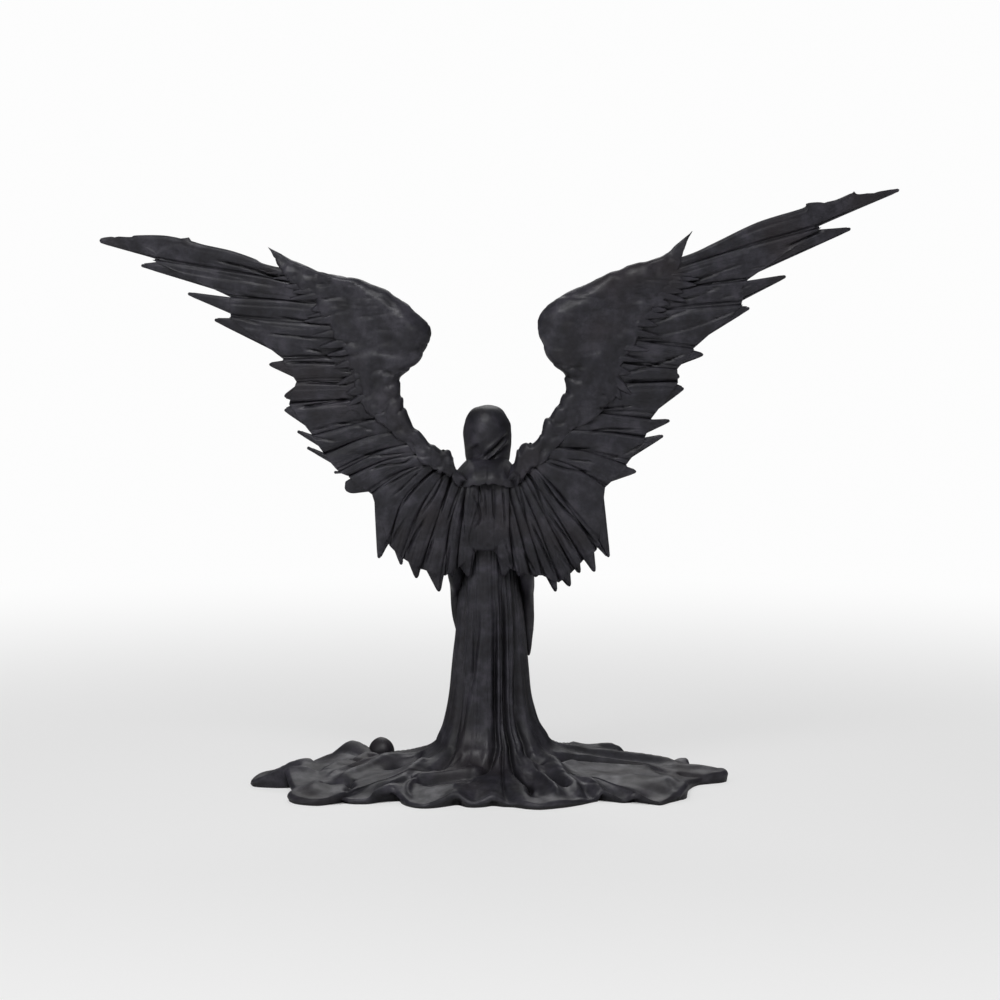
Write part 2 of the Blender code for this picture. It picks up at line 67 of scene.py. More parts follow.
def through(points, share, closed=False):
    # Catmull-Rom curve through the points, read at shares 0 to 1 of its knots
    knots = np.array(points, float)
    share = np.asarray(share, float)
    if closed:
        knots = np.vstack([knots[-1:], knots, knots[:2]])
    else:
        knots = np.vstack([2 * knots[0] - knots[1], knots, 2 * knots[-1] - knots[-2]])
    spans = len(knots) - 3
    place = np.clip(share, 0.0, 1.0) * spans
    first = np.minimum(place.astype(int), spans - 1)
    t = (place - first)[..., None]
    a, b, c, d = (knots[first + i] for i in range(4))
    return 0.5 * (2 * b + (c - a) * t + (2 * a - 5 * b + 4 * c - d) * t**2 + (3 * b - a - 3 * c + d) * t**3)


def blotch(points, size, seed):
    # Smooth random field from -1 to 1, one lump for each cube of the given size
    place = np.asarray(points, float) / np.asarray(size, float) + seed * 7.31
    cell = np.floor(place).astype(np.int64)
    t = place - cell
    t = t * t * (3.0 - 2.0 * t)
    total = np.zeros(place.shape[:-1])
    for corner in np.ndindex(2, 2, 2):
        x, y, z = (cell[..., i] + corner[i] for i in range(3))
        code = (x * 73856093) ^ (y * 19349663) ^ (z * 83492791) ^ (seed * 2654435)
        code = (code ^ (code >> 13)) * 1274126177 & 0xFFFFFFFF
        value = ((code ^ (code >> 16)) & 0xFFFF) / 32767.5 - 1.0
        weight = np.ones(place.shape[:-1])
        for i in range(3):
            weight = weight * (t[..., i] if corner[i] else 1.0 - t[..., i])
        total += value * weight
    return total


def outwardOf(grid):
    # Normals of a grid of rings, each ring anticlockwise as seen from where the rings come from
    along = np.gradient(grid, axis=0)
    around = np.roll(grid, -1, axis=1) - np.roll(grid, 1, axis=1)
    normal = np.cross(along, around)
    return normal / np.maximum(np.linalg.norm(normal, axis=2, keepdims=True), 1e-9)


def roll(plan, path, height, left, right, samples=48, crisp=False):
    # A rounded ridge, or a groove where height is below 0, along a path drawn on a plan. Its two flanks have
    # their own widths, so one can be steep. It fades in and out at its ends. A crisp one has hollow flanks
    share = np.linspace(0.0, 1.0, samples)
    line = through(path, share)
    ahead = np.gradient(line, axis=0)
    step = np.linalg.norm(ahead, axis=1, keepdims=True)
    ahead = ahead / step
    flat = plan.reshape(-1, 2)
    lift = np.zeros(len(flat))
    reach = 3.0 * max(left, right)
    near = np.all((flat > line.min(axis=0) - reach) & (flat < line.max(axis=0) + reach), axis=1)
    if not near.any():
        return lift.reshape(plan.shape[:-1])
    away = flat[near][:, None, :] - line[None]
    closest = np.argmin((away**2).sum(axis=2), axis=1)
    away = away[np.arange(len(closest)), closest]
    tangent = ahead[closest]
    side = tangent[:, 0] * away[:, 1] - tangent[:, 1] * away[:, 0]
    along = np.abs((tangent * away).sum(axis=1)) - step[closest, 0]
    distance = np.hypot(side, np.maximum(along, 0.0))
    # Round an end the width turns from one flank's to the other's
    turn = ease(-1.0, 1.0, side / np.maximum(distance, 1e-6))
    width = right + (left - right) * turn
    fade = ease(0.0, 0.2, share[closest]) * ease(1.0, 0.8, share[closest])
    away = distance / width
    slope = -1.5 * (np.sqrt(away**2 + 0.16) - 0.4) if crisp else -away**2
    lift[near] = height * fade * np.exp(slope)
    return lift.reshape(plan.shape[:-1])


def folded(plan, folds, samples=48, crisp=False):
    # All the folds of a table together
    return sum(roll(plan, path, *shape, samples, crisp) for shape, path in folds)


def addSolid(name, points, quads, ends=()):
    # A closed mesh from points in millimetres, with its faces turned to point out
    verts = points * mm
    a, b, c, d = (verts[quads[:, i]] for i in range(4))
    volume = np.einsum("ij,ij->i", a, np.cross(b, c) + np.cross(c, d)).sum()
    faces = quads.tolist() + list(ends)
    if volume < 0:
        faces = [face[::-1] for face in faces]
    mesh = bpy.data.meshes.new(name)
    mesh.from_pydata(verts.tolist(), [], faces)
    solid = bpy.data.objects.new(name, mesh)
    bpy.context.scene.collection.objects.link(solid)
    return solid


def shell(name, rings):
    # A closed solid through rings of equal count, with a fan over each end
    rings = np.asarray(rings, float)
    rows, around, _ = rings.shape
    points = np.vstack([rings.reshape(-1, 3), rings[0].mean(axis=0), rings[-1].mean(axis=0)])
    ring = np.arange(around)
    after = (ring + 1) % around
    start = (np.arange(rows - 1) * around)[:, None]
    quads = np.stack([start + ring, start + after, start + around + after, start + around + ring], axis=-1)
    last = (rows - 1) * around
    low = np.stack([after, ring, np.full(around, rows * around)], axis=1)
    high = np.stack([last + ring, last + after, np.full(around, rows * around + 1)], axis=1)
    return addSolid(name, points, quads.reshape(-1, 4), low.tolist() + high.tolist())


def tube(path, ahead, aside, thick, around):
    # Rings round a path, from the way it heads and a direction to its side
    ahead = unit(ahead)
    flat = unit(np.cross(ahead, aside))
    other = np.cross(ahead, flat)
    angle = np.linspace(0.0, 2 * math.pi, around, endpoint=False)[None, :, None]
    ring = np.cos(angle) * flat[:, None] + np.sin(angle) * other[:, None]
    return path[:, None] + thick[:, None, None] * ring


def fuse(name, solids, cutters=()):
    # Cuts the first solid, then joins them all into one closed skin, as a casting has
    body, *others = solids
    for cutter in cutters:
        cut = body.modifiers.new("cut", "BOOLEAN")
        cut.operation, cut.solver, cut.object = "DIFFERENCE", "MANIFOLD", cutter
    added = bpy.data.collections.new(name + "Parts")
    bpy.context.scene.collection.children.link(added)
    for solid in others:
        added.objects.link(solid)
    if others:
        join = body.modifiers.new("join", "BOOLEAN")
        join.operation, join.solver = "UNION", "MANIFOLD"
        join.operand_type, join.collection = "COLLECTION", added
    bpy.context.view_layer.update()
    mesh = bpy.data.meshes.new_from_object(body.evaluated_get(bpy.context.evaluated_depsgraph_get()))
    for solid in (*solids, *cutters):
        old = solid.data
        bpy.data.objects.remove(solid)
        bpy.data.meshes.remove(old)
    bpy.data.collections.remove(added)
    mesh.name = name
    mesh.shade_smooth()
    mesh.set_sharp_from_angle(angle=math.radians(sharpEdge))
    piece = bpy.data.objects.new(name, mesh)
    bpy.context.scene.collection.objects.link(piece)
    mesh.calc_loop_triangles()
    print(f"{name}: {len(mesh.loop_triangles)} triangles")
    return piece


robe = {
    "around": 570,
    "columnRows": 64,
    "poolRows": 84,
    # height, middle x, half width, half depth, from the shoulders down to the foot
    "column": (
        (149.0, 0.5, 9.0, 8.0), (142.0, 0.5, 16.0, 11.5), (128.0, 0.2, 15.8, 12.0), (104.0, -0.2, 12.6, 11.2),
        (82.0, -0.7, 14.4, 13.2), (60.0, -0.7, 16.6, 15.4), (42.0, -0.8, 18.6, 17.4),
        (29.0, -1.2, 21.8, 20.2), (20.5, -2.0, 26.0, 24.0),
    ),
    # how far each ring of the pool lies from the foot to the hem, and its height
    "pool": ((0.07, 15.4), (0.19, 11.2), (0.4, 8.4), (0.7, 6.2), (0.95, 4.6)),
    # The hem from above, anticlockwise from the figure's left: x, y, and how high its upper edge stands
    "hem": (
        (112, 5, 2.6), (110.5, 13, 3.0), (103, 17, 6.0), (96, 15.5, 8.4), (93, 26, 6.0), (90, 40, 4.2),
        (92, 50, 3.6), (88, 58, 3.4), (79, 62.5, 3.4), (73, 59.5, 3.4), (68, 54.5, 2.6), (63, 58, 2.4),
        (56, 58.6, 3.2), (52, 56, 6.6), (47.5, 54.5, 8.0), (43.5, 54, 7.2), (40, 58, 4.6), (37, 63.5, 3.0),
        (33, 68, 2.5), (28, 69.5, 2.6), (21, 66.5, 4.6), (15, 64.3, 6.6), (10.5, 66.4, 4.8), (6.5, 67.4, 3.2),
        (2.5, 66.6, 4.4), (-2, 65.5, 5.8), (-6, 65.6, 4.4), (-9.5, 66, 2.6), (-13, 67.5, 3.4), (-18, 71, 3.9),
        (-24, 72.5, 3.3), (-31, 69.5, 3.8), (-37, 65.5, 3.4), (-43, 60, 2.2), (-48.5, 53.5, 2.0),
        (-52.5, 50.5, 4.8), (-57, 52, 3.4), (-62, 55.5, 1.8), (-66.5, 53.6, 3.2), (-69.5, 54.4, 3.5),
        (-74, 58.5, 2.2), (-79, 61, 2.0), (-84, 54, 3.0), (-88.5, 49.5, 5.2), (-92, 42, 6.2),
        (-92.5, 32, 5.6), (-95, 19, 4.2), (-99, 9.5, 3.6), (-105, 5.5, 4.6), (-111, 2, 5.2),
        (-113.5, -3, 5.4), (-110, -8, 5.2), (-98, -12, 4.4), (-94, -30, 3.6), (-80, -44, 3.4),
        (-58, -48, 4.6), (-42, -60, 3.2), (-14, -64, 4.6), (6, -56, 3.2), (30, -62, 4.8), (52, -56, 3.2),
        (68, -58, 4.8), (84, -44, 3.2), (92, -28, 4.0), (104, -18, 3.2), (110, -6, 3.0),
    ),
    "turned": 0.55,       # from this share of the way to the hem on, the mesh's columns lie radially
    "edgeRound": 2.4,     # radius of the hem's upper edge
    "undercut": 4.0,      # how far the ground edge stands back under the highest arches
    "wallLean": 0.7,      # how far the wall under the hem leans in all round
    "thinnest": 1.6,
    # The cloth's unevenness, as height and size: drawn out along its fall, and even in all directions
    "strands": ((0.22, 5.0), (0.14, 2.6)),
    "swelling": (0.3, 9.0),
    "mounds": (
        (67, -40, 7.6, 9.5), (-56, -48, 3.0, 12), (-34, -46, 2.5, 11), (81, 46, 1.8, 10), (-68, 30, 1.6, 16),
        (-80, 38, 2.0, 9), (96, 8, 2.4, 7), (-93, -22, 4.0, 5), (88, -6, 2.4, 9),
    ),
    # Folds that leave the column: height, left and right flank, then (direction in degrees, radius) outwards.
    # Radius is 8 at the waist and 25 at the foot
    "falls": (
        ((-2.6, 1.7, 2.6), ((24, 11), (28, 14.5), (36, 19), (42, 22), (47, 24.5), (50, 30), (48, 37),
                            (41, 48))),
        ((-0.9, 1.1, 1.1), ((78, 14.5), (72, 17.5), (64, 19.7), (57, 21.3), (54, 23))),
        ((-0.8, 0.8, 0.8), ((64, 16.5), (66, 18.5), (68, 19.7))),
        ((0.8, 2.0, 2.0), ((84, 16), (76, 19), (66, 22), (56, 25), (50, 28))),
        ((-0.9, 3.0, 3.0), ((88, 20), (86, 24))),
        ((-3.4, 1.2, 1.9), ((106, 13), (105, 17.7), (102, 22.5), (97, 25), (89, 31), (82, 36), (69, 40),
                            (59, 45), (53, 51), (51, 54))),
        ((-1.6, 0.9, 0.9), ((117, 14), (116, 18), (112, 22.5), (105, 26), (100, 38), (98, 52), (97, 66))),
        ((-3.4, 1.1, 1.6), ((127, 13), (124, 17), (121, 21), (115, 25), (111, 33), (112, 42), (113, 50),
                            (109, 59), (108, 70))),
        ((-0.9, 0.9, 0.9), ((137, 12), (135, 17), (130, 21), (124, 24), (120, 27))),
        ((-3.2, 1.6, 2.0), ((152, 12), (150, 18.5), (143, 22.5), (135, 25), (131, 29), (136, 33), (143, 35))),
        ((-0.6, 0.7, 0.7), ((160, 12), (159, 17), (155, 22), (150, 26), (156, 30))),
        ((-0.6, 0.7, 0.7), ((168, 13), (168, 18), (166, 23), (168, 28))),
    ),
    # Folds in the pool: height, left and right flank, then (x, y) away from the column
    "spills": (
        # the near side, from the figure's left
        ((3.0, 7.0, 1.5), ((78, 13), (88, 13.2), (96, 14), (104, 13.5), (111, 9))),
        ((-2.6, 1.4, 2.6), ((88, -3), (96, 0), (102, 2.5), (108, 5.5))),
        ((2.4, 2.6, 2.6), ((80, -8), (94, -7), (106, -2))),
        ((2.8, 5.0, 1.8), ((42, -8), (56, -20), (64, -10), (75, 8), (80, 20))),
        ((-2.4, 1.3, 1.3), ((46, -6), (54, -4), (62, 1), (68, 8))),
        ((2.0, 1.4, 2.4), ((44, -1), (57, 4), (68, 13), (76, 24))),
        ((3.2, 3.2, 3.6), ((28, -3), (42, 0), (49, 3), (56, 11), (62, 18), (67, 28), (67, 34))),
        ((-5.0, 3.0, 2.4), ((79, 34), (74, 35), (70, 37.5), (67, 41))),
        ((-3.8, 1.2, 1.6), ((62, 31), (64.4, 37), (63.0, 44), (65.4, 54))),
        ((-4.4, 3.0, 2.4), ((30, 4), (37, 6.5), (43, 10), (49, 18))),
        ((-2.2, 1.4, 1.6), ((12, 22), (17, 25), (21, 27.5), (26, 30.5))),
        ((3.2, 3.4, 6.5), ((28, 14), (31, 20), (34.5, 28), (38.4, 37), (42, 43), (46, 48), (50, 55))),
        ((3.4, 1.4, 5.0), ((0, 31), (6, 35), (14, 35.6), (23.5, 36.6), (30, 38), (35, 41))),
        ((-3.2, 2.4, 1.5), ((4, 39), (14, 40.6), (24, 42), (31, 45))),
        ((2.0, 1.6, 1.6), ((31, 39), (35, 42), (36.4, 48), (36.4, 56), (33, 63))),
        # and the near side on the figure's right
        ((3.0, 3.6, 2.2), ((-16, 21), (-18.7, 25), (-23.3, 32), (-27.5, 44), (-31, 57), (-33, 66))),
        ((-3.6, 2.6, 3.0), ((-21, 26), (-27.5, 33), (-33, 41), (-37, 50))),
        ((1.8, 2.0, 2.6), ((-36, 34), (-45.8, 38.5), (-49.5, 45), (-52, 51))),
        ((2.2, 9.0, 1.6), ((-84, 15), (-72, 10.6), (-62, 10.4), (-49, 11.6), (-40, 14), (-33, 17.4))),
        ((-3.8, 1.0, 1.0), ((-80, 10), (-71, 7.6), (-62, 7.4), (-49, 8.6), (-40, 11), (-33, 14.4),
                            (-28, 16))),
        ((3.0, 1.3, 8.0), ((-88, 7), (-72, 5.2), (-61, 5.0), (-48, 6.2), (-38, 8.6), (-28, 11.5))),
        ((-2.4, 1.3, 1.3), ((-84, 31), (-90, 38), (-94, 44))),
        ((-1.8, 1.4, 1.4), ((-82, 38), (-85, 48), (-86, 55))),
        ((-1.6, 1.2, 1.2), ((-88, 6), (-96, 7), (-102, 8))),
        # the far side
        ((1.2, 3.0, 2.2), ((24, -12), (36, -9), (44, -4), (52, 2))),
        ((-2.4, 1.4, 1.6), ((36, -15), (50, -18), (58, -14))),
        ((-0.9, 1.0, 1.0), ((-34, -24), (-46, -25), (-60, -24), (-77, -22))),
    ),
    # Soft swells and hollows of the cloth, in the same way
    "swells": (
        ((1.4, 4.0, 4.0), ((76, 27), (79, 38), (80, 48), (79, 60))),
        ((2.8, 2.8, 3.8), ((-28, 13), (-31, 20), (-33, 27), (-35.4, 34), (-39.2, 43), (-41.5, 54),
                           (-40, 63))),
        ((4.6, 4.6, 4.6), ((-34, -25), (-46, -28), (-58, -27), (-68, -23))),
        ((1.0, 3.6, 3.6), ((17, 45), (15.5, 55), (15, 66))),
        ((-0.8, 3.4, 3.4), ((7, 43), (6.6, 54), (6.6, 68))),
        ((0.8, 3.4, 3.4), ((-1, 42), (-2, 56), (-2, 68))),
        ((-1.8, 3.6, 3.4), ((-16, 34), (-20.5, 48), (-24, 64))),
        ((-1.6, 3.0, 3.0), ((-42, 44), (-46, 51), (-47, 60))),
        ((1.2, 6.0, 6.0), ((-50, 22), (-53, 38), (-53, 54))),
        ((1.0, 6.0, 6.0), ((-64, 26), (-68, 42), (-69, 58))),
        ((1.2, 3.4, 3.4), ((-74, 12), (-81, 24), (-84, 36), (-87, 50))),
        ((2.2, 4.0, 4.0), ((-80, -3), (-96, -3), (-112, -3))),
        ((4.2, 7.0, 5.0), ((-26, -10), (-48, -14), (-68, -14), (-86, -13), (-101, -12))),
        ((1.4, 4.0, 4.0), ((-25, -20), (-48, -34), (-66, -46))),
        ((-1.2, 3.0, 4.0), ((3, 22), (4, 27), (3, 31))),
    ),
    # Plainer folds round the front: direction at the waist, foot and hem, height on the column and in the
    # pool, and width
    "folds": (
        (8, 6, 2, 0.9, 1.0, 3.0), (176, 174, 172, 1.0, 1.2, 4.0), (192, 194, 188, 1.0, 2.4, 3.6),
        (203, 206, 204, 1.2, 3.4, 4.6), (226, 228, 234, 1.3, 3.2, 4.4), (238, 242, 250, 1.5, 3.0, 3.8),
        (251, 254, 264, 1.6, 3.2, 4.0), (263, 265, 272, 1.2, 2.6, 3.2), (275, 276, 281, 1.6, 3.4, 4.0),
        (288, 287, 293, 1.4, 2.8, 3.6), (301, 301, 304, 1.5, 3.4, 4.4), (315, 313, 316, 1.1, 2.8, 3.6),
        (328, 327, 328, 1.2, 2.0, 4.4), (345, 344, 342, 1.0, 0.8, 4.2), (33, 36, 26, 0.6, 0.4, 4.0),
        (58, 60, 52, 0.8, 0.2, 4.0), (90, 86, 80, 1.3, 0.2, 4.5), (148, 146, 140, 0.8, 0.3, 3.0),
    ),
    "grooves": (
        (198, 200, 196, -0.9, -2.2, 1.6), (214, 217, 220, -1.0, -2.4, 1.7), (232, 236, 243, -1.3, -2.6, 1.6),
        (245, 248, 257, -1.4, -2.2, 1.5), (257, 260, 268, -1.2, -2.2, 1.4), (269, 271, 277, -1.6, -2.4, 1.5),
        (282, 281, 287, -1.3, -2.4, 1.5), (294, 294, 298, -1.4, -2.4, 1.6), (308, 307, 310, -1.2, -2.4, 1.6),
        (321, 320, 322, -1.0, -2.4, 1.7), (337, 336, 335, -0.9, -2.4, 1.8), (356, 354, 352, -0.8, -2.2, 1.8),
    ),
}


def evened(values, spread):
    # Running mean of values that go round the hem
    return sum(np.roll(values, k) for k in range(-spread, spread + 1)) / (2 * spread + 1)


def polar(path):
    angle, radius = np.radians([p[0] for p in path]), np.array([p[1] for p in path], float)
    return np.column_stack([radius * np.cos(angle), radius * np.sin(angle)])


def robeProfile():
    # From the shoulders to the hem: height, middle x, half width, half depth, share of the way to the hem
    foot = robe["column"][-1]
    profile = [(*row, 0.0) for row in robe["column"]]
    profile += [(height, *foot[1:], share) for share, height in robe["pool"]]
    turns = len(robe["column"]) - 1
    rows = np.concatenate([
        np.linspace(0, turns, robe["columnRows"]),
        np.linspace(turns, len(profile) - 1, robe["poolRows"])[1:],
    ]) / (len(profile) - 1)
    return through(profile, rows).T[:, :, None]


def poolPlan(hem, outward, steady, share):
    # Each column of the mesh soon turns onto the radius through its own point of the hem, so that none cross
    _, middle, wide, deep = robe["column"][-1]
    center = np.array([middle, 0.0])
    foot = outward * (wide, deep)
    turn, reach = np.unwrap(np.arctan2(foot[:, 1], foot[:, 0])), np.linalg.norm(foot, axis=1)
    hemTurn = np.maximum.accumulate(np.unwrap(np.arctan2(*(hem - center).T[::-1])))
    hemReach = np.linalg.norm(hem - center, axis=1)
    hem = center + hemReach[:, None] * np.column_stack([np.cos(hemTurn), np.sin(hemTurn)])
    # and follows the hem's corners only near it
    inTurn, inReach = steady + evened(hemTurn - steady, 6), evened(hemReach, 12)
    turn = turn + (inTurn - turn) * ease(0.0, robe["turned"], share)
    turn = turn + (hemTurn - inTurn) * ease(0.72, 1.0, share)
    reach = reach + (inReach - reach) * share + (hemReach - inReach) * ease(0.66, 1.0, share)
    return center + reach[:, :, None] * np.dstack([np.cos(turn), np.sin(turn)]), hem


def clothFolds(cloth, share, hem):
    # How far the folds lift the cloth at each place of its plan
    lift = folded(cloth, [(shape, polar(path)) for shape, path in robe["falls"]], 64)
    lift = lift + folded(cloth, robe["spills"], 64, crisp=True) + folded(cloth, robe["swells"])
    angle, reach = np.degrees(np.arctan2(hem[:, 1], hem[:, 0])) % 360.0, np.linalg.norm(hem, axis=1)
    order = np.argsort(angle)
    for waist, low, edge, onColumn, inPool, width in robe["folds"] + robe["grooves"]:
        far = np.interp(edge % 360, angle[order], reach[order])
        path = polar(((waist, 8), (0.5 * (waist + low), 17), (low, 26), (0.6 * low + 0.4 * edge, 0.5 * far),
                      (edge, 0.95 * far)))
        tall = roll(cloth, path, 1.0, width, width, crisp=True)
        tall *= np.interp(np.linalg.norm(cloth, axis=2), [8, 16, 26, 42, 90], [0.2, 1, 1, 1, 0.8])
        lift += tall * (onColumn + (inPool - onColumn) * ease(0.0, 0.25, share))
    return lift


def hemRim(hem, top):
    # The hem is rounded over, and its wall stands back under the arches behind and at the left end
    outward = unit(hem)
    bend = np.minimum(robe["edgeRound"], 0.6 * top)
    rings = []
    for turn in np.radians((12, 26, 40, 54, 66, 78, 90)):
        inset = bend * (1.0 - math.sin(turn))
        rings.append(np.column_stack([hem - outward * inset[:, None], top - bend * (1.0 - math.cos(turn))]))
    facing = np.maximum(ease(46, 52, hem[:, 1]), ease(90, 95, hem[:, 0]))
    under = robe["undercut"] * ease(3.6, 8.0, top) * facing
    for fall in np.linspace(0.0, 1.0, 8)[1:]:
        back = robe["wallLean"] * fall + under * ease(0.0, 0.6, fall)
        wall = np.column_stack([hem - outward * back[:, None], (top - bend) * (1.0 - fall)])
        wall[:, :2] += 0.25 * blotch(wall, 4.0, 9)[:, None] * outward * (fall < 1.0)
        rings.append(wall)
    return np.array(rings)


def makeRobe():
    hem = through(robe["hem"], np.linspace(0.0, 1.0, robe["around"], endpoint=False), closed=True)
    hem, crest = hem[:, :2], hem[:, 2]
    steady = np.arange(len(hem)) * 2 * math.pi / len(hem)
    direction = np.unwrap(np.arctan2(*(hem / np.abs(hem).max(axis=0)).T[::-1]))
    direction = steady + evened(direction - steady, len(hem) // 16)
    outward = np.stack([np.cos(direction), np.sin(direction)], axis=1)
    height, middle, wide, deep, share = robeProfile()
    share = np.maximum(share, 0.0)
    inPool = share[:, :, None] > 0
    ring = outward * np.stack([wide, deep], axis=2) + np.stack([middle, 0 * middle], axis=2)
    pool, hem = poolPlan(hem, outward, steady, share)
    plan = np.where(inPool, pool, ring)
    # The cloth comes down to its hem, which is lifted here and there where it arches off the ground
    crest = crest + 0.3 * blotch(np.column_stack([hem, np.zeros(len(hem))]), 6.0, 3)
    level = height + (crest - robe["pool"][-1][1]) * ease(0.7, 0.96, share)
    for x, y, rise, radius in robe["mounds"]:
        level += rise * np.exp(-((np.hypot(plan[..., 0] - x, plan[..., 1] - y) / radius) ** 2))
    # The folds are drawn on a plan that, on the column, shrinks evenly towards the waist
    top, foot = robe["column"][0], robe["column"][-1]
    shrink = np.interp(height, [foot[0], top[0]], [1.0, 0.32])
    cloth = np.where(inPool, plan, (outward * foot[2:] + (foot[1], 0.0)) * shrink[:, :, None])
    lift = clothFolds(cloth, share, hem)
    grid = np.dstack([plan, level])
    angle = np.arctan2(cloth[..., 1], cloth[..., 0])
    along = np.dstack([60 * np.cos(angle), 60 * np.sin(angle), np.linalg.norm(cloth, axis=2) * 0.5])
    for i, (tall, size) in enumerate(robe["strands"]):
        lift += tall * blotch(along, size, 5 + i)
    tall, size = robe["swelling"]
    lift += tall * blotch(grid, size, 7)
    # In the pool it stands nearly straight up, and it thins out to the hem's own height
    upright = 0.85 * ease(0.0, 0.12, share) + 0.15 * ease(0.85, 1.0, share)
    normal = outwardOf(grid) * (1.0 - upright)[:, :, None]
    normal[..., 2] += upright
    lift *= 0.25 + 0.75 * ease(1.0, 0.8, share)
    grid = grid + normal * lift[:, :, None]
    grid[..., 2] = np.maximum(grid[..., 2], robe["thinnest"])
    return shell("robe", np.concatenate([grid, hemRim(hem, np.maximum(grid[-1, :, 2], 1.8))]))


wingShape = {
    "back": 22.0,         # how far the wrist lies behind the robe's axis
    "wristOut": 26.0,
    "reach": 160.0,       # how far beyond the wrist the wing comes forward to the axis again
    "spineRound": 6.0,    # the hollow between the wings is rounded over this far from the axis
    "fanTop": 131.0,      # the fan leans forward below this
    "fanLean": 0.3,
    "fanBend": 3.0,
    "fanFullOut": 12.0,   # the lean is full from this far out
    "lineWidth": 0.75,    # all carved lines, against the widths below
}

flightFeather = {
    "thickness": 3.4,
    "tipThickness": 1.7,
    "lift": 1.5,             # how far the leading edge stands over the feather before it
    "overlap": 1.6,
    "crown": (0.7, 1.1),     # how far the vane bulges, on the outermost and the innermost feather
    "streak": 0.14,
    "ripple": 0.45,
    "tipWidth": 1.6,
    "rootSink": 3.0,         # how far the innermost feathers' roots go in under the mantle
    "bay": (0.9, 0.7),       # how far an edge draws back just beyond a notch, outermost and innermost
    "grooves": (0.3, 0.65),  # where faint grooves lie across the vane
    "rows": 72,
    "backColumns": 42,
    "frontColumns": 15,
}

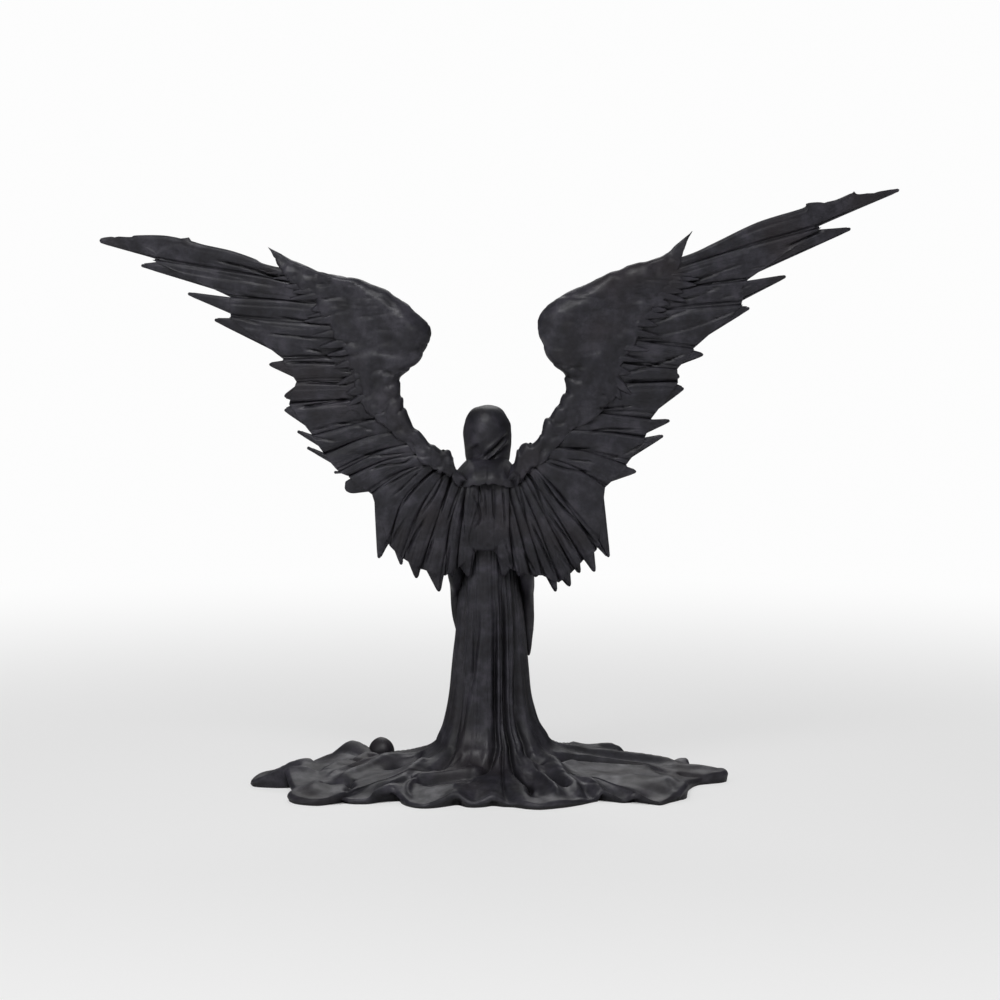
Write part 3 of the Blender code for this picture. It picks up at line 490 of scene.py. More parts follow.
leftWing = {
    "name": "leftWing", "side": 1, "seed": 11,
    # from the shoulder over the wrist to the last covert: the leading edge, then where the coverts end
    "arm": (
        ((10, 146), (8, 139)), ((15.2, 151.5), (14, 143)), ((17, 158.5), (20, 148.5)),
        ((23.5, 160.5), (29, 152.5)), ((31, 166.5), (37, 160)), ((39, 177), (46, 169)),
        ((39.6, 184), (54, 176.5)), ((40, 192), (61, 184)), ((34, 198), (63, 194)),
        ((28.5, 207.5), (67, 201.5)), ((26.8, 214), (72, 212)), ((29, 219), (75, 219.5)),
        ((35, 224.5), (79, 226)), ((44, 230.8), (85.5, 232)), ((57, 237), (89, 236.5)),
        ((72, 240.6), (94, 241.5)), ((88, 245.2), (96.2, 244.4)), ((101.8, 252.6), (101.2, 251.6)),
    ),
    "roots": ((70, 238), (62, 218), (52, 187), (38, 168), (28, 154), (18, 150), (6, 143)),
    "first": ((101, 244.2), (108, 247.2), (118.6, 250.8), (131.5, 253.6), (138, 255.4), (150, 257.6),
              (163.5, 257.5), (166.5, 256.6), (174, 256.5)),
    # small bumps on the leading edge of the first feather: place along it, height, width
    "nicks": ((0.515, 1.7, 0.011), (0.9, -0.4, 0.012)),
    # carved lines between and along the feathers: depth and width, then the places they run through
    "lines": (
        ((1.5, 0.8), ((90, 235.2), (102.6, 240.2), (114.2, 243.7), (128.6, 247))),
        ((0.6, 0.5), ((94, 238.6), (102, 241.4), (110, 243.4))),
        ((0.5, 1.1), ((93.9, 233.9), (108.4, 236.7), (120, 240.3))),
        ((0.9, 0.7), ((98, 220.4), (88, 219), (78, 217.6))), ((1.2, 0.8), ((114, 219.6), (105.5, 217))),
        ((1.0, 0.6), ((103.3, 213), (92, 212), (78, 210.6))),
        ((1.0, 0.6), ((86, 206.2), (78, 204.4), (70, 199.2))),
        ((1.3, 0.7), ((95, 199.4), (80, 199.4), (67, 198.8))),
        ((0.8, 0.5), ((71.5, 195.8), (60.5, 194.6), (60.2, 191.6), (71, 193.2))),
        ((1.4, 0.7), ((85, 190.3), (75, 190), (63, 189.2))),
        ((1.5, 0.8), ((88, 178.6), (75.5, 180.6), (63, 182.8))),
        ((0.8, 0.5), ((71, 172.5), (62.5, 177.5), (58, 172.6))),
        ((0.8, 0.6), ((75, 170.8), (64, 171.2), (49, 167))), ((1.0, 0.7), ((82, 165), (69, 163))),
        ((0.9, 0.6), ((68, 158.8), (52, 156.6), (34, 158.4))),
        ((1.0, 0.6), ((56, 149.4), (48.5, 152.1), (39.4, 153.3), (33, 157))),
        ((1.0, 0.6), ((50, 141), (37.6, 148.3), (30.4, 151.8))),
        ((1.0, 0.6), ((44.9, 137.4), (37.6, 143.6), (30.4, 151))),
        ((1.2, 0.6), ((43, 129.4), (34.9, 140.2), (26.8, 148.3), (21.6, 151.2))),
        ((1.2, 0.6), ((33.1, 127.7), (25.9, 136.6), (21.2, 146), (21.4, 150.6))),
        ((1.5, 0.7), ((22.3, 129), (19.6, 138.5), (15.8, 149.6))),
        ((1.0, 0.6), ((19.6, 124), (16, 134.5), (12.5, 143))),
        ((1.2, 0.8), ((46, 114.5), (41.2, 122.5), (38, 127))),
        ((1.5, 0.8), ((38.7, 108.6), (34, 119.6), (28.6, 128))),
        ((1.3, 0.7), ((29.9, 104.7), (27.5, 112), (25, 119))),
        ((1.3, 0.7), ((19.7, 101), (18.7, 108), (17.5, 115))),
        ((0.9, 0.8), ((40, 192.6), (44.5, 194.6), (49, 195))),
    ),
    # hollows in the coverts: out, up, size, depth
    "pits": ((45.8, 210.5, 2.6, 1.3), (61.8, 210, 2.4, 1.2), (67.4, 231.4, 3.0, 0.9), (56, 204, 1.8, 0.9),
             (50.5, 217, 2.0, 0.8), (49, 205, 1.6, 0.9), (71, 226, 2.2, 0.7), (47, 189, 1.5, 1.1),
             (58, 222, 2.4, 0.6)),
    # each flight feather's tip, the notch before the next one, and its bow, outermost first
    "feathers": (
        ((181.2, 255.5), (152.6, 245.8), 1, 2.4), ((161.5, 244), (117.6, 229), 1),
        ((139.5, 231), (117.6, 219.8), 1), ((127, 219), (93.5, 200.5), 1), ((101.5, 198.5), (87.5, 190), 1),
        ((94.5, 183.5), (90.5, 180), 1), ((94.5, 177.5), (80, 165.5), 1), ((88.5, 167.5), (74.5, 157), 2),
        ((84, 160), (68, 149), 2), ((71.5, 148.5), (63, 147), 2), ((66.5, 141), (53, 139), 2, 5.6),
        ((51, 108), (45, 115.5), 5), ((40.5, 105), (38.5, 109.5), 2), ((33.5, 98.5), (30, 104.5), 0.5),
        ((23, 92), (19.5, 101.5), 2), ((17, 99), (14, 105), 1), ((9, 98.5), (5, 113), 1),
    ),
}
rightWing = {
    "name": "rightWing", "side": -1, "seed": 23,
    "arm": (
        ((9, 146), (8, 139)), ((12, 154), (13.5, 142.5)), ((15, 161.5), (19, 148.5)), ((22, 164), (27, 154)),
        ((26, 172.3), (35, 164)), ((31, 179), (44, 171)), ((34.6, 186), (53, 178)),
        ((34.6, 194), (59.5, 186)), ((28.5, 201), (62, 196.5)), ((24, 210.5), (67, 206.5)),
        ((22.5, 217), (71.5, 215)), ((24.5, 222.6), (74, 223)), ((31, 228.2), (79.5, 226.5)),
        ((41.5, 234.6), (83.5, 232)), ((53.5, 239.8), (88.5, 236.8)), ((66, 244.4), (88.5, 240)),
        ((80, 249.4), (88.2, 246)), ((94.2, 260), (93.5, 259)),
    ),
    "roots": ((68, 242), (62, 222), (48, 192), (28.5, 163), (18.5, 153), (12, 147.5), (5, 143)),
    "first": ((92, 249), (104.5, 254.6), (124.5, 264), (145.3, 270.4), (148.2, 272.8), (159.7, 273.8),
              (169.2, 277.3), (173.5, 276.6)),
    "nicks": ((0.5, 0.5, 0.02), (0.63, -0.5, 0.012), (0.8, 0.7, 0.012), (0.93, -0.4, 0.01)),
    "lines": (
        ((1.5, 0.8), ((87, 234.7), (97.5, 237.9), (109, 242.2), (119.5, 245.6))),
        ((1.0, 0.6), ((84, 227.2), (97.5, 230.4), (108, 235.9))),
        ((0.6, 0.5), ((99, 233.6), (106, 237.4), (112, 241.2))),
        ((1.4, 0.8), ((136, 251.8), (148, 257.2), (156, 260.4))),
        ((1.2, 0.7), ((74, 216.6), (83, 220.5), (93, 224))), ((0.6, 0.5), ((78, 217.6), (86, 220.6))),
        ((1.0, 0.8), ((74, 211.2), (90.2, 214.7), (103.2, 218.9), (117, 224.3))),
        ((0.5, 0.9), ((122, 236), (114, 231.5), (102, 226.5))),
        ((1.3, 0.7), ((62, 194.5), (78.2, 198.7), (92, 204))), ((1.2, 0.7), ((59, 186.6), (69, 191.4))),
        ((1.2, 0.7), ((48, 178.6), (57.2, 178.7), (68, 179.5))),
        ((0.9, 0.6), ((46, 166.8), (54.2, 168.7), (73, 168.6))), ((1.0, 0.6), ((36, 159.7), (49, 159.7))),
        ((1.0, 0.6), ((36, 155), (48.5, 153.8))), ((0.9, 0.7), ((55, 154.6), (64.2, 158), (73, 162.5))),
        ((1.1, 0.6), ((25.5, 154), (37.1, 150.4), (51, 148.4))),
        ((1.1, 0.6), ((13.4, 150.2), (15.6, 135.7), (17.5, 126))),
        ((1.4, 0.7), ((16.3, 150.4), (22, 142), (25.2, 131))),
        ((1.5, 0.7), ((21.4, 150.8), (31, 136.8), (42.7, 124.2), (50.5, 114.5))),
        ((1.0, 0.6), ((22, 147), (27, 141.5), (31, 134.5))),
        ((1.1, 0.7), ((26, 132), (34.6, 120.6), (42.4, 109))),
        ((1.3, 0.7), ((19.6, 126), (25.5, 113.3), (32, 98.6))), ((1.1, 0.7), ((14.2, 114.5), (22, 101))),
        ((1.1, 0.7), ((29.5, 115.6), (38.2, 104.2))), ((1.1, 0.7), ((6.5, 119), (9.5, 110), (11.2, 103.6))),
        ((0.9, 0.8), ((35, 196), (39, 197.6), (44, 197.6))),
    ),
    "pits": ((44, 214, 2.4, 1.1), (58, 212, 2.2, 1.0), (64, 232, 2.8, 0.9), (52, 206, 1.8, 0.8),
             (50, 222, 2.2, 0.7), (41, 192, 1.6, 1.0), (72, 236, 2.2, 0.6)),
    "feathers": (
        ((191.5, 279), (151.4, 260.4), 1), ((168.5, 261), (118, 236.6), 1), ((138, 239), (115.5, 225.5), 1),
        ((121, 224.5), (93.5, 205.5), 1), ((99.5, 203), (86, 196), 1), ((88.5, 192.5), (86, 190), 1),
        ((90.5, 187.5), (74, 173), 1), ((84, 172.5), (71, 164.5), 2), ((81, 165.5), (62.5, 152), 2),
        ((68.5, 149), (53, 142), 2), ((56, 108.5), (49, 113.5), 1), ((49.5, 101.5), (42.5, 108.5), 0),
        ((42.5, 101), (38, 103.5), 0), ((38, 94.5), (32, 98.5), 0), ((31.5, 92), (24.5, 101.5), 0),
        ((22, 99), (18.5, 102), 0), ((14.5, 99), (11, 104), 0), ((7, 99), (2.5, 112.5), 1),
    ),
}


def wingDepth(out, up):
    s = wingShape
    out = np.hypot(out, s["spineRound"])
    inner = 0.0145 * np.maximum(0.0, s["wristOut"] - out) ** 2
    outer = s["back"] * (np.maximum(0.0, out - s["wristOut"]) / s["reach"]) ** 1.5
    below = np.maximum(0.0, s["fanTop"] - up)
    lean = s["fanLean"] * (np.hypot(below, s["fanBend"]) - s["fanBend"])
    lean = lean * np.minimum(1.0, out / s["fanFullOut"])
    return s["back"] - inner - outer - lean


def onWing(side, plan, off):
    out, up = plan[..., 0], plan[..., 1]
    return np.stack([side * out, wingDepth(out, up) + off, up], axis=-1)


def carved(lines, plan):
    # How deep the carved lines cut at each place of a wing's plan
    depth = np.zeros(plan.shape[:-1])
    for (deep, wide), path in lines:
        wide = wide * wingShape["lineWidth"]
        depth = np.maximum(depth, roll(plan, path, deep, wide, wide, 40))
    return depth


def bladeEdges(frontEdge, rearEdge, share, tipWidth, nicks):
    # A feather's two edges, which taper straight from the notch to a narrow, rounded tip
    front, rear = through(frontEdge, share[:, 0]), through(rearEdge, share[:, 0])
    middle = 0.5 * (front + rear)
    ahead = unit(np.gradient(middle, axis=0))
    sideways = np.column_stack([-ahead[:, 1], ahead[:, 0]])
    sideways *= np.sign(np.sum(sideways * (front - rear)))
    square = np.sum(sideways * (front - rear), axis=1, keepdims=True)
    left = np.linalg.norm(middle[-1] - middle, axis=1, keepdims=True)
    taper = np.clip(1.0 - left / left[np.searchsorted(share[:, 0], 0.5)], 0.0, 1.0)
    end = np.sqrt(np.clip(1.0 - np.maximum(0.0, 1.0 - 2.0 * left / tipWidth) ** 2, 0.02, 1.0))
    apart = np.where(share > 0.6, np.clip(square, 0.0, 1.0), 1.0) * (front - rear)
    apart = apart + sideways * tipWidth * taper
    front, rear = middle + 0.5 * end * apart, middle - 0.5 * end * apart
    for place, tall, wide in nicks:
        front = front + sideways * tall * bump(share, place, wide)
    return front, rear


def makeBlade(name, side, frontEdge, rearEdge, settings, grooves=(), nicks=(), lines=()):
    # A feather between two edge curves, with rounded edges, a crowned vane and grooves along it
    f = {**flightFeather, "lift": 0.0, "above": 0.0, "crown": 0.6, "rootRound": 0.8, "sink": 0.0, **settings}
    back = 0.5 - 0.5 * np.cos(np.linspace(0.0, math.pi, f["backColumns"]))
    home = 0.5 + 0.5 * np.cos(np.linspace(0.0, math.pi, f["frontColumns"] + 2))[1:-1]
    across = np.concatenate([back, home])[None, :]
    face = np.concatenate([np.ones(len(back)), -np.ones(len(home))])[None, :]
    share = (1.0 - (1.0 - np.linspace(0.0, 1.0, f["rows"])) ** 1.3)[:, None]
    front, rear = bladeEdges(frontEdge, rearEdge, share, f["tipWidth"], nicks)
    width = np.linalg.norm(rear - front, axis=1)[:, None]
    length = np.linalg.norm(np.diff(front, axis=0), axis=1).sum()
    rootEnd = f["rootRound"] * (1.0 - share / 0.06) ** 2 * (share < 0.06)
    squeeze = 0.5 - (0.5 - across) * np.clip(1.0 - rootEnd, 0.3, 1)
    plan = front[:, None] + (rear - front)[:, None] * squeeze[..., None]
    half = 0.5 * (f["thickness"] + (f["tipThickness"] - f["thickness"]) * share)
    half = half * np.sqrt(np.clip(1.0 - ((share - 0.93) / 0.07) ** 2 * (share > 0.93), 0.1, 1.0))
    half = half * np.minimum(1.0, 0.3 + width / 4.0)
    rim = np.clip(1.0 - np.abs(2.0 * across - 1.0) ** (2.0 + np.minimum(6.0, width / 2.5)), 0.0, 1.0) ** 0.5
    off = face * rim * half
    crown = f["crown"] * np.minimum(1.0, width / 9.0) * np.sin(math.pi * across) * ease(1.02, 0.7, share)
    off = off + np.where(face > 0, crown, -0.5 * crown)
    off = off + f["lift"] * (1.0 - share**2) * (0.5 - across) + f["above"] - f["sink"] * ease(0.4, 0.0, share)
    # Fine streaks and longer ripples along the vane
    flat = 0 * share * across
    vane = np.stack([across * width, share * length + flat, flat], axis=-1)
    fine = f["streak"] * blotch(vane, (0.9, 16.0, 1.0), f["seed"])
    fine = fine + f["ripple"] * blotch(vane, (4.5, 13.0, 1.0), f["seed"] + 1)
    off = off + face * fine * rim * np.minimum(1.0, width / 6.0)
    for place, start, end, depth, wide in grooves:
        drift = place + 0.05 * np.sin(3.0 * share + f["seed"]) + 0.02 * np.sin(11.0 * share + 2 * f["seed"])
        taper = wide * (0.55 + 0.9 * ease(end, start, share))
        line = np.exp(-np.abs((across - drift) * width / taper) ** 1.6)
        line = line * ease(start, start + 0.06, share) * ease(end, end - 0.3, share)
        off = off - face * depth * line * rim
    off = off - np.where(face > 0, carved(lines, plan), 0.0)
    return shell(name, onWing(side, plan, off))


def featherRoots(wing, place):
    # Where a feather's two edges start, for its place from the outermost (0) to the innermost (1)
    step = 1.0 / (len(wing["feathers"]) - 1)
    return through(wing["roots"], place - 0.25 * step), through(wing["roots"], place + 1.3 * step)


def makeFeathers(wing):
    f, feathers = flightFeather, wing["feathers"]
    chance = np.random.default_rng(wing["seed"])
    upper, nicks = wing["first"], wing["nicks"]
    made = []
    for i, (tip, notch, bow, *blunt) in enumerate(feathers):
        frontRoot, rearRoot = featherRoots(wing, i / (len(feathers) - 1))
        tip, notch = np.array(tip, float), np.array(notch, float)
        along = unit(notch - rearRoot)
        outward = np.array([-along[1], along[0]])
        middle = 0.5 * (rearRoot + notch) + bow * outward
        fan = ease(3, 10, i)
        bare = tip - notch
        beyond = np.linalg.norm(bare)
        aside = np.array([-bare[1], bare[0]]) / beyond
        draw = f["bay"][0] + (f["bay"][1] - f["bay"][0]) * fan
        bay = notch + bare * min(0.3, 1.7 / beyond) + aside * min(draw, 0.15 * beyond)
        # Faint grooves start under the coverts and thin out along the vane
        grooves = [(at + chance.uniform(-0.1, 0.1), chance.uniform(0.05, 0.3), chance.uniform(0.5, 0.9),
                    chance.uniform(0.15, 0.5), chance.uniform(0.5, 1.0)) for at in f["grooves"]]
        # and one runs beside the next feather
        grooves.append((0.88, 0.1, chance.uniform(0.9, 1.3), 0.8, 0.6))
        look = {"lift": f["lift"], "seed": wing["seed"] + 3 * i, "sink": f["rootSink"] * ease(10, 13, i),
                "crown": f["crown"][0] + (f["crown"][1] - f["crown"][0]) * fan,
                "tipWidth": blunt[0] if blunt else f["tipWidth"]}
        if i:
            # Beyond the last notch this feather's own edge draws back too
            clear = tip - upper[-1]
            long = np.linalg.norm(clear)
            dip = np.array([clear[1], -clear[0]]) / long * min(0.2, 0.03 * long)
            upper = (*upper, upper[-1] + min(0.3, 2.0 / long) * clear + dip)
        made.append(makeBlade(f"feather{i}", wing["side"], [frontRoot, *upper, tip],
                              [rearRoot, middle, notch, bay, tip], look, grooves, nicks, wing["lines"]))
        upper, nicks = (middle + f["overlap"] * outward, notch + 0.25 * f["overlap"] * outward), ()
    return made


wingArm = {
    "rows": 190,
    "around": 72,
    "lobes": 11,                 # stepped lumps along the lower leading edge
    "lobeHeight": 1.0,
    "sink": 3.0,                 # how far its inner end goes into the shoulders
    "edgeHeight": 3.9,           # how far the coverts' edge stands over the feathers' middle
    "behind": (4.4, 4.8, -1.6),  # how thick it is behind the feathers' middle: all along, at wrist and end
    "ahead": (2.8, 2.4, -0.8),
    "lumps": ((1.1, 9.0), (0.7, 4.2), (0.34, 1.9)),  # height and size
    "creases": (0.8, 6.5),       # depth, and how far apart
    "tufts": 15,                 # pointed coverts that break up the edge
    "tuftWidth": (1.3, 2.6),
    "tuftLength": (3.5, 10.0),
}



def makeArm(wing):
    leading, coverts = [edge for edge, _ in wing["arm"]], [edge for _, edge in wing["arm"]]
    share = np.linspace(0.0, 1.0, wingArm["rows"])
    front, rear = through(leading, share), through(coverts, share)
    wrist = bump(share, 0.6, 0.2)
    outer = ease(0.8, 1.0, share)
    thinned = 1.0 - 0.8 * ease(0.93, 1.0, share)  # the thumb's spike
    back, fore = ((even + swell * wrist + drop * outer) * thinned
                  for even, swell, drop in (wingArm["behind"], wingArm["ahead"]))
    edge = wingArm["edgeHeight"] * (1.0 - 0.45 * outer) * ease(0.0, 0.15, share) * thinned
    turn = np.linspace(0.0, 1.0, wingArm["around"], endpoint=False)
    # Each lobe rises slowly and drops off steeply
    phase = (wingArm["lobes"] * share / 0.56) % 1.0
    rising, falling = np.sin(0.5 * math.pi * phase / 0.75), np.cos(0.5 * math.pi * (phase - 0.75) / 0.25)
    lobe = (np.where(phase < 0.75, rising, falling) - 0.6) * ease(0.02, 0.06, share) * ease(0.58, 0.5, share)
    rings, places = [], []
    for i in range(len(share)):
        b, e, f = back[i], edge[i], fore[i]
        section = ((0.0, 0.0), (0.05, 0.6 * b), (0.25, b), (0.65, 0.35 * b + 0.7 * e), (0.95, e),
                   (1.0, 0.6 * e), (0.97, -0.4), (0.6, -0.7 * f), (0.15, -f))
        across, off = through(section, turn, closed=True).T
        places.append(across)
        near = lobe[i] * np.exp(-((across / 0.35) ** 2))
        off = off - wingArm["sink"] * ease(0.09, 0.0, share[i])
        off = off + np.sign(off) * 0.7 * near
        plan = front[i] + (rear[i] - front[i]) * across[:, None]
        plan = plan + unit(front[i] - rear[i]) * (wingArm["lobeHeight"] * near)[:, None]
        rings.append(onWing(wing["side"], plan, off))
    grid = np.array(rings)
    # Lumps and short creases, smoothed away towards the wrist's leading edge
    rough = 0.35 + 0.65 * ease(0.1, 0.5, np.array(places))
    lumps = sum((rough if i else 1.0) * tall * blotch(grid, size, wing["seed"] + i)
                for i, (tall, size) in enumerate(wingArm["lumps"]))
    deep, apart = wingArm["creases"]
    lumps = lumps - rough * deep * bump(blotch(grid, apart, wing["seed"] + 3), 0.0, 0.16)
    seen = np.stack([np.abs(grid[..., 0]), grid[..., 2]], axis=-1)
    for out, up, size, depth in wing["pits"]:
        lumps -= depth * np.exp(-np.sum((seen - (out, up)) ** 2, axis=-1) / size**2)
    lumps -= carved(wing["lines"], seen)
    normal = outwardOf(grid)
    if np.sum(normal[:, 0] * (grid[:, 0] - grid.mean(axis=1))) < 0:
        normal = -normal
    return shell("arm", grid + normal * (lumps * thinned[:, None])[..., None])


def makeTufts(wing):
    # Pointed coverts along the edge, each lying the way the feathers under it run
    coverts = [edge for _, edge in wing["arm"]]
    last = len(wing["feathers"]) - 1
    ways = [unit(np.array(feather[0]) - featherRoots(wing, i / last)[0])
            for i, feather in enumerate(wing["feathers"])]
    chance = np.random.default_rng(wing["seed"] + 5)
    made = []
    for i, share in enumerate(np.linspace(0.4, 0.87, wingArm["tufts"])):
        share = share + chance.uniform(-0.01, 0.01)
        edge, way = through(coverts, share), unit(through(ways, 1.0 - share))
        aside = np.array([-way[1], way[0]])
        flank = aside * chance.uniform(*wingArm["tuftWidth"])
        bend = aside * chance.uniform(-1.0, 1.0)
        tip = edge + way * chance.uniform(*wingArm["tuftLength"]) + bend
        root, near = edge - 9.0 * way, edge - 1.5 * way
        above = wingArm["edgeHeight"] * (1.0 - 0.45 * ease(0.8, 1.0, share)) - 1.6
        look = {"thickness": 3.0, "tipThickness": 2.0, "tipWidth": 1.0, "rows": 30, "backColumns": 15,
                "frontColumns": 7, "seed": wing["seed"] + 41 + i, "lift": chance.uniform(-0.5, 0.5),
                "above": above, "crown": 0.5, "rootRound": 1.0, "sink": 3.0}
        made.append(makeBlade(f"tuft{i}", wing["side"], [root + flank * 0.8, near + flank, tip],
                              [root - flank * 0.8, near - flank, tip], look))
    return made


# Broad feathers with blunt ends hang over the spine and close the fan. They are drawn on the left wing's
# surface near the axis, where x is taken as it stands
spineFeathers = {
    "rootHeight": 147.0,
    "meshRows": 56,
    "sink": 2.0,
    # x at the root, x at the tip, height of the tip, half width, how far behind the fan, how blunt it ends
    "rows": (
        (-5.4, -4.4, 112.4, 4.8, 0.9, 0.92), (0.6, 1.6, 111.6, 4.4, 1.3, 0.9),
        (6.2, 6.2, 112.2, 4.8, 0.9, 0.92), (6.4, 10.0, 117.0, 3.2, 1.7, 0.0),
    ),
    # carved lines: depth and width, then (x, height)
    "lines": (
        ((0.9, 0.7), ((-2.0, 143), (-2.3, 134), (-2.6, 125))),
        ((1.0, 0.7), ((-6.6, 141), (-7.2, 132), (-7.8, 122))),
        ((0.8, 0.6), ((1.6, 141), (1.2, 134), (0.8, 127))),
        ((0.9, 0.7), ((7.8, 140), (4.6, 133), (3.8, 127), (7, 121))),
        ((1.1, 0.7), ((-10.6, 143), (-11.4, 130), (-12.2, 116))),
        ((0.8, 0.6), ((4.6, 142), (3.6, 138), (2.9, 133))),
    ),
}


def makeSpineFeathers():
    made = []
    for i, (root, tip, height, half, behind, blunt) in enumerate(spineFeathers["rows"]):
        top = spineFeathers["rootHeight"]
        middle = (root + 0.45 * (tip - root), top + 0.5 * (height - top))
        line = np.array([(root, top), middle, (tip, height)])
        side = np.array([half, 0.0])
        waist = np.array([[0.9], [1.0], [blunt]])
        look = {"above": behind, "sink": spineFeathers["sink"], "rows": spineFeathers["meshRows"],
                "seed": 70 + i}
        grooves = [(0.35, 0.2, 0.8, 0.25, 0.6), (0.7, 0.1, 0.6, 0.2, 0.5)]
        made.append(makeBlade(f"spineFeather{i}", 1, line - side * waist, line + side * waist, look, grooves,
                              lines=spineFeathers["lines"]))
    return made


hood = {
    "rows": 84,
    "around": 120,
    # height, middle (x, y), half width, half depth, from the crown down to the neck
    "profile": (
        (178.5, 0.7, -3.0, 0.3, 0.3), (178.1, 0.7, -3.0, 3.2, 3.8), (176.9, 0.7, -3.0, 6.5, 7.8),
        (174.0, 0.7, -3.2, 8.9, 10.8), (169.3, 0.6, -3.2, 10.5, 12.6), (162.0, 0.6, -2.6, 10.9, 12.8),
        (155.0, 0.5, -1.8, 10.1, 11.6), (151.0, 0.4, -1.2, 9.6, 10.5), (146.0, 0.4, -1.0, 9.6, 10.0),
    ),
    "faceHeight": 163.5,
    "opening": (6.6, 9.8),
    # from outside the hood inwards: place along Y, and size against the opening
    "hollow": ((-22.0, 1.5), (-17.0, 1.12), (-14.0, 1.02), (-11.0, 1.0), (-6.0, 0.95), (-2.0, 0.8),
               (-0.5, 0.4)),
    "rim": 1.0,
    "folds": ((8.9, 0.7), (10.6, 0.5)),  # how far each lies to the side, and its height
    # creases at the nape: height, left and right flank, then (x, height)
    "creases": (
        ((-1.3, 1.0, 0.9), ((-8.8, 166), (-5.6, 161.4), (-1.6, 157.4), (3.4, 153.4))),
        ((0.8, 0.9, 1.0), ((-9.0, 168.6), (-5.2, 163.4), (-0.6, 159.4), (5.0, 155.6))),
        ((-1.0, 0.9, 0.9), ((-9.6, 162), (-7.0, 158.4), (-3.4, 155.4), (0.4, 152.4))),
        ((0.9, 0.8, 0.8), ((-9.2, 164), (-6.2, 160), (-2.4, 156.4), (1.8, 153))),
        ((-1.7, 3.2, 3.2), ((7.4, 160.4), (6.0, 157.4), (4.6, 154.6))),
    ),
}

mantle = {
    "rows": 54,
    "around": 200,
    # height, half width, reach in front and behind, dip in front, lift behind, downwards
    "profile": (
        (154.0, 8.4, 9.4, 9.0, 0.0, 0.0), (152.4, 10.2, 11.0, 13.4, 0.0, 0.2),
        (149.4, 12.8, 12.2, 18.6, 1.0, 0.4), (144.4, 16.8, 14.2, 21.6, 4.0, 2.2),
        (139.2, 18.4, 15.8, 22.4, 9.0, 4.6), (138.2, 18.0, 15.2, 21.8, 9.4, 5.0),
        (138.0, 16.8, 13.4, 18.0, 9.0, 5.2),
    ),
    # direction, height and width in degrees
    "folds": (
        (10, 0.7, 9), (34, 0.5, 7), (58, 0.3, 7), (122, 0.35, 8), (146, 0.55, 7), (170, 0.7, 9),
        (196, 0.8, 8), (212, 0.6, 6), (328, 0.6, 6), (344, 0.8, 8),
    ),
    "swagDrop": 4.4,  # from one swag on the chest to the next
}


def makeHood():
    profile = through(hood["profile"], np.linspace(0.0, 1.0, hood["rows"]))
    angle = np.linspace(0.0, 2 * math.pi, hood["around"], endpoint=False)[None]
    height, x, y, wide, deep = (column[:, None] for column in profile.T)
    grid = np.dstack([x + wide * np.cos(angle), y + deep * np.sin(angle), height + 0 * angle])
    lift = 0.35 * blotch(grid, 6.0, 91) + 0.12 * blotch(grid, 2.4, 92)  # the cloth's unevenness
    seen = np.dstack([grid[..., 0], grid[..., 2]])
    lift += ease(-2.0, 4.0, grid[..., 1]) * folded(seen, hood["creases"])
    # Folds that fall from the crown past the opening to the shoulders
    ahead = ease(4.0, -2.0, grid[..., 1])
    for side in (1, -1):
        for reach, tall in hood["folds"]:
            path = [(side * part * reach, height) for part, height in ((0.4, 176), (1.0, 168), (1.0, 158))]
            lift += ahead * roll(seen, (*path, (side * (reach - 1.5), 149)), tall, 0.9, 0.9)
    lift *= ease(0.0, 0.08, np.linspace(0, 1, hood["rows"]))[:, None]
    return shell("hood", grid + outwardOf(grid) * lift[..., None])


def ovalAt(y, scale, count):
    # The opening's outline, a little pointed above
    angle = np.linspace(0.0, 2 * math.pi, count, endpoint=False)
    wide, tall = hood["opening"]
    across = np.cos(angle) * wide * scale * (1.0 - 0.12 * np.maximum(np.sin(angle), 0.0))
    up = np.sin(angle) * tall * scale * (1.0 + 0.05 * (np.sin(angle) > 0))
    return np.column_stack([0.6 + across, np.full(count, float(y)), hood["faceHeight"] + up])


def makeHoodHollow():
    rows = through(hood["hollow"], np.linspace(0.0, 1.0, 26))
    return shell("hoodHollow", [ovalAt(y, scale, 64) for y, scale in rows])


def makeHoodRim():
    # A rolled edge round the opening, on the hood's own curve
    path = ovalAt(0.0, 1.1, 96)
    heights = [row[0] for row in hood["profile"]]
    level = np.interp(path[:, 2], heights[::-1], np.arange(len(heights))[::-1])
    row = through(hood["profile"], level / (len(heights) - 1))
    share = np.clip((path[:, 0] - row[:, 1]) / row[:, 3], -0.98, 0.98)
    path[:, 1] = row[:, 2] - row[:, 4] * np.sqrt(1.0 - share**2) + 0.35
    thick = hood["rim"] * (1.0 + 0.18 * blotch(path, 3.0, 94))
    ahead = np.roll(path, -1, axis=0) - np.roll(path, 1, axis=0)
    rings = tube(path, ahead, path - path.mean(axis=0), thick, 12)
    index = np.arange(rings.shape[0] * rings.shape[1]).reshape(rings.shape[:2])
    after = np.roll(index, -1, axis=0)
    quads = np.stack([index, np.roll(index, -1, axis=1), np.roll(after, -1, axis=1), after], axis=-1)
    return addSolid("hoodRim", rings.reshape(-1, 3), quads.reshape(-1, 4))


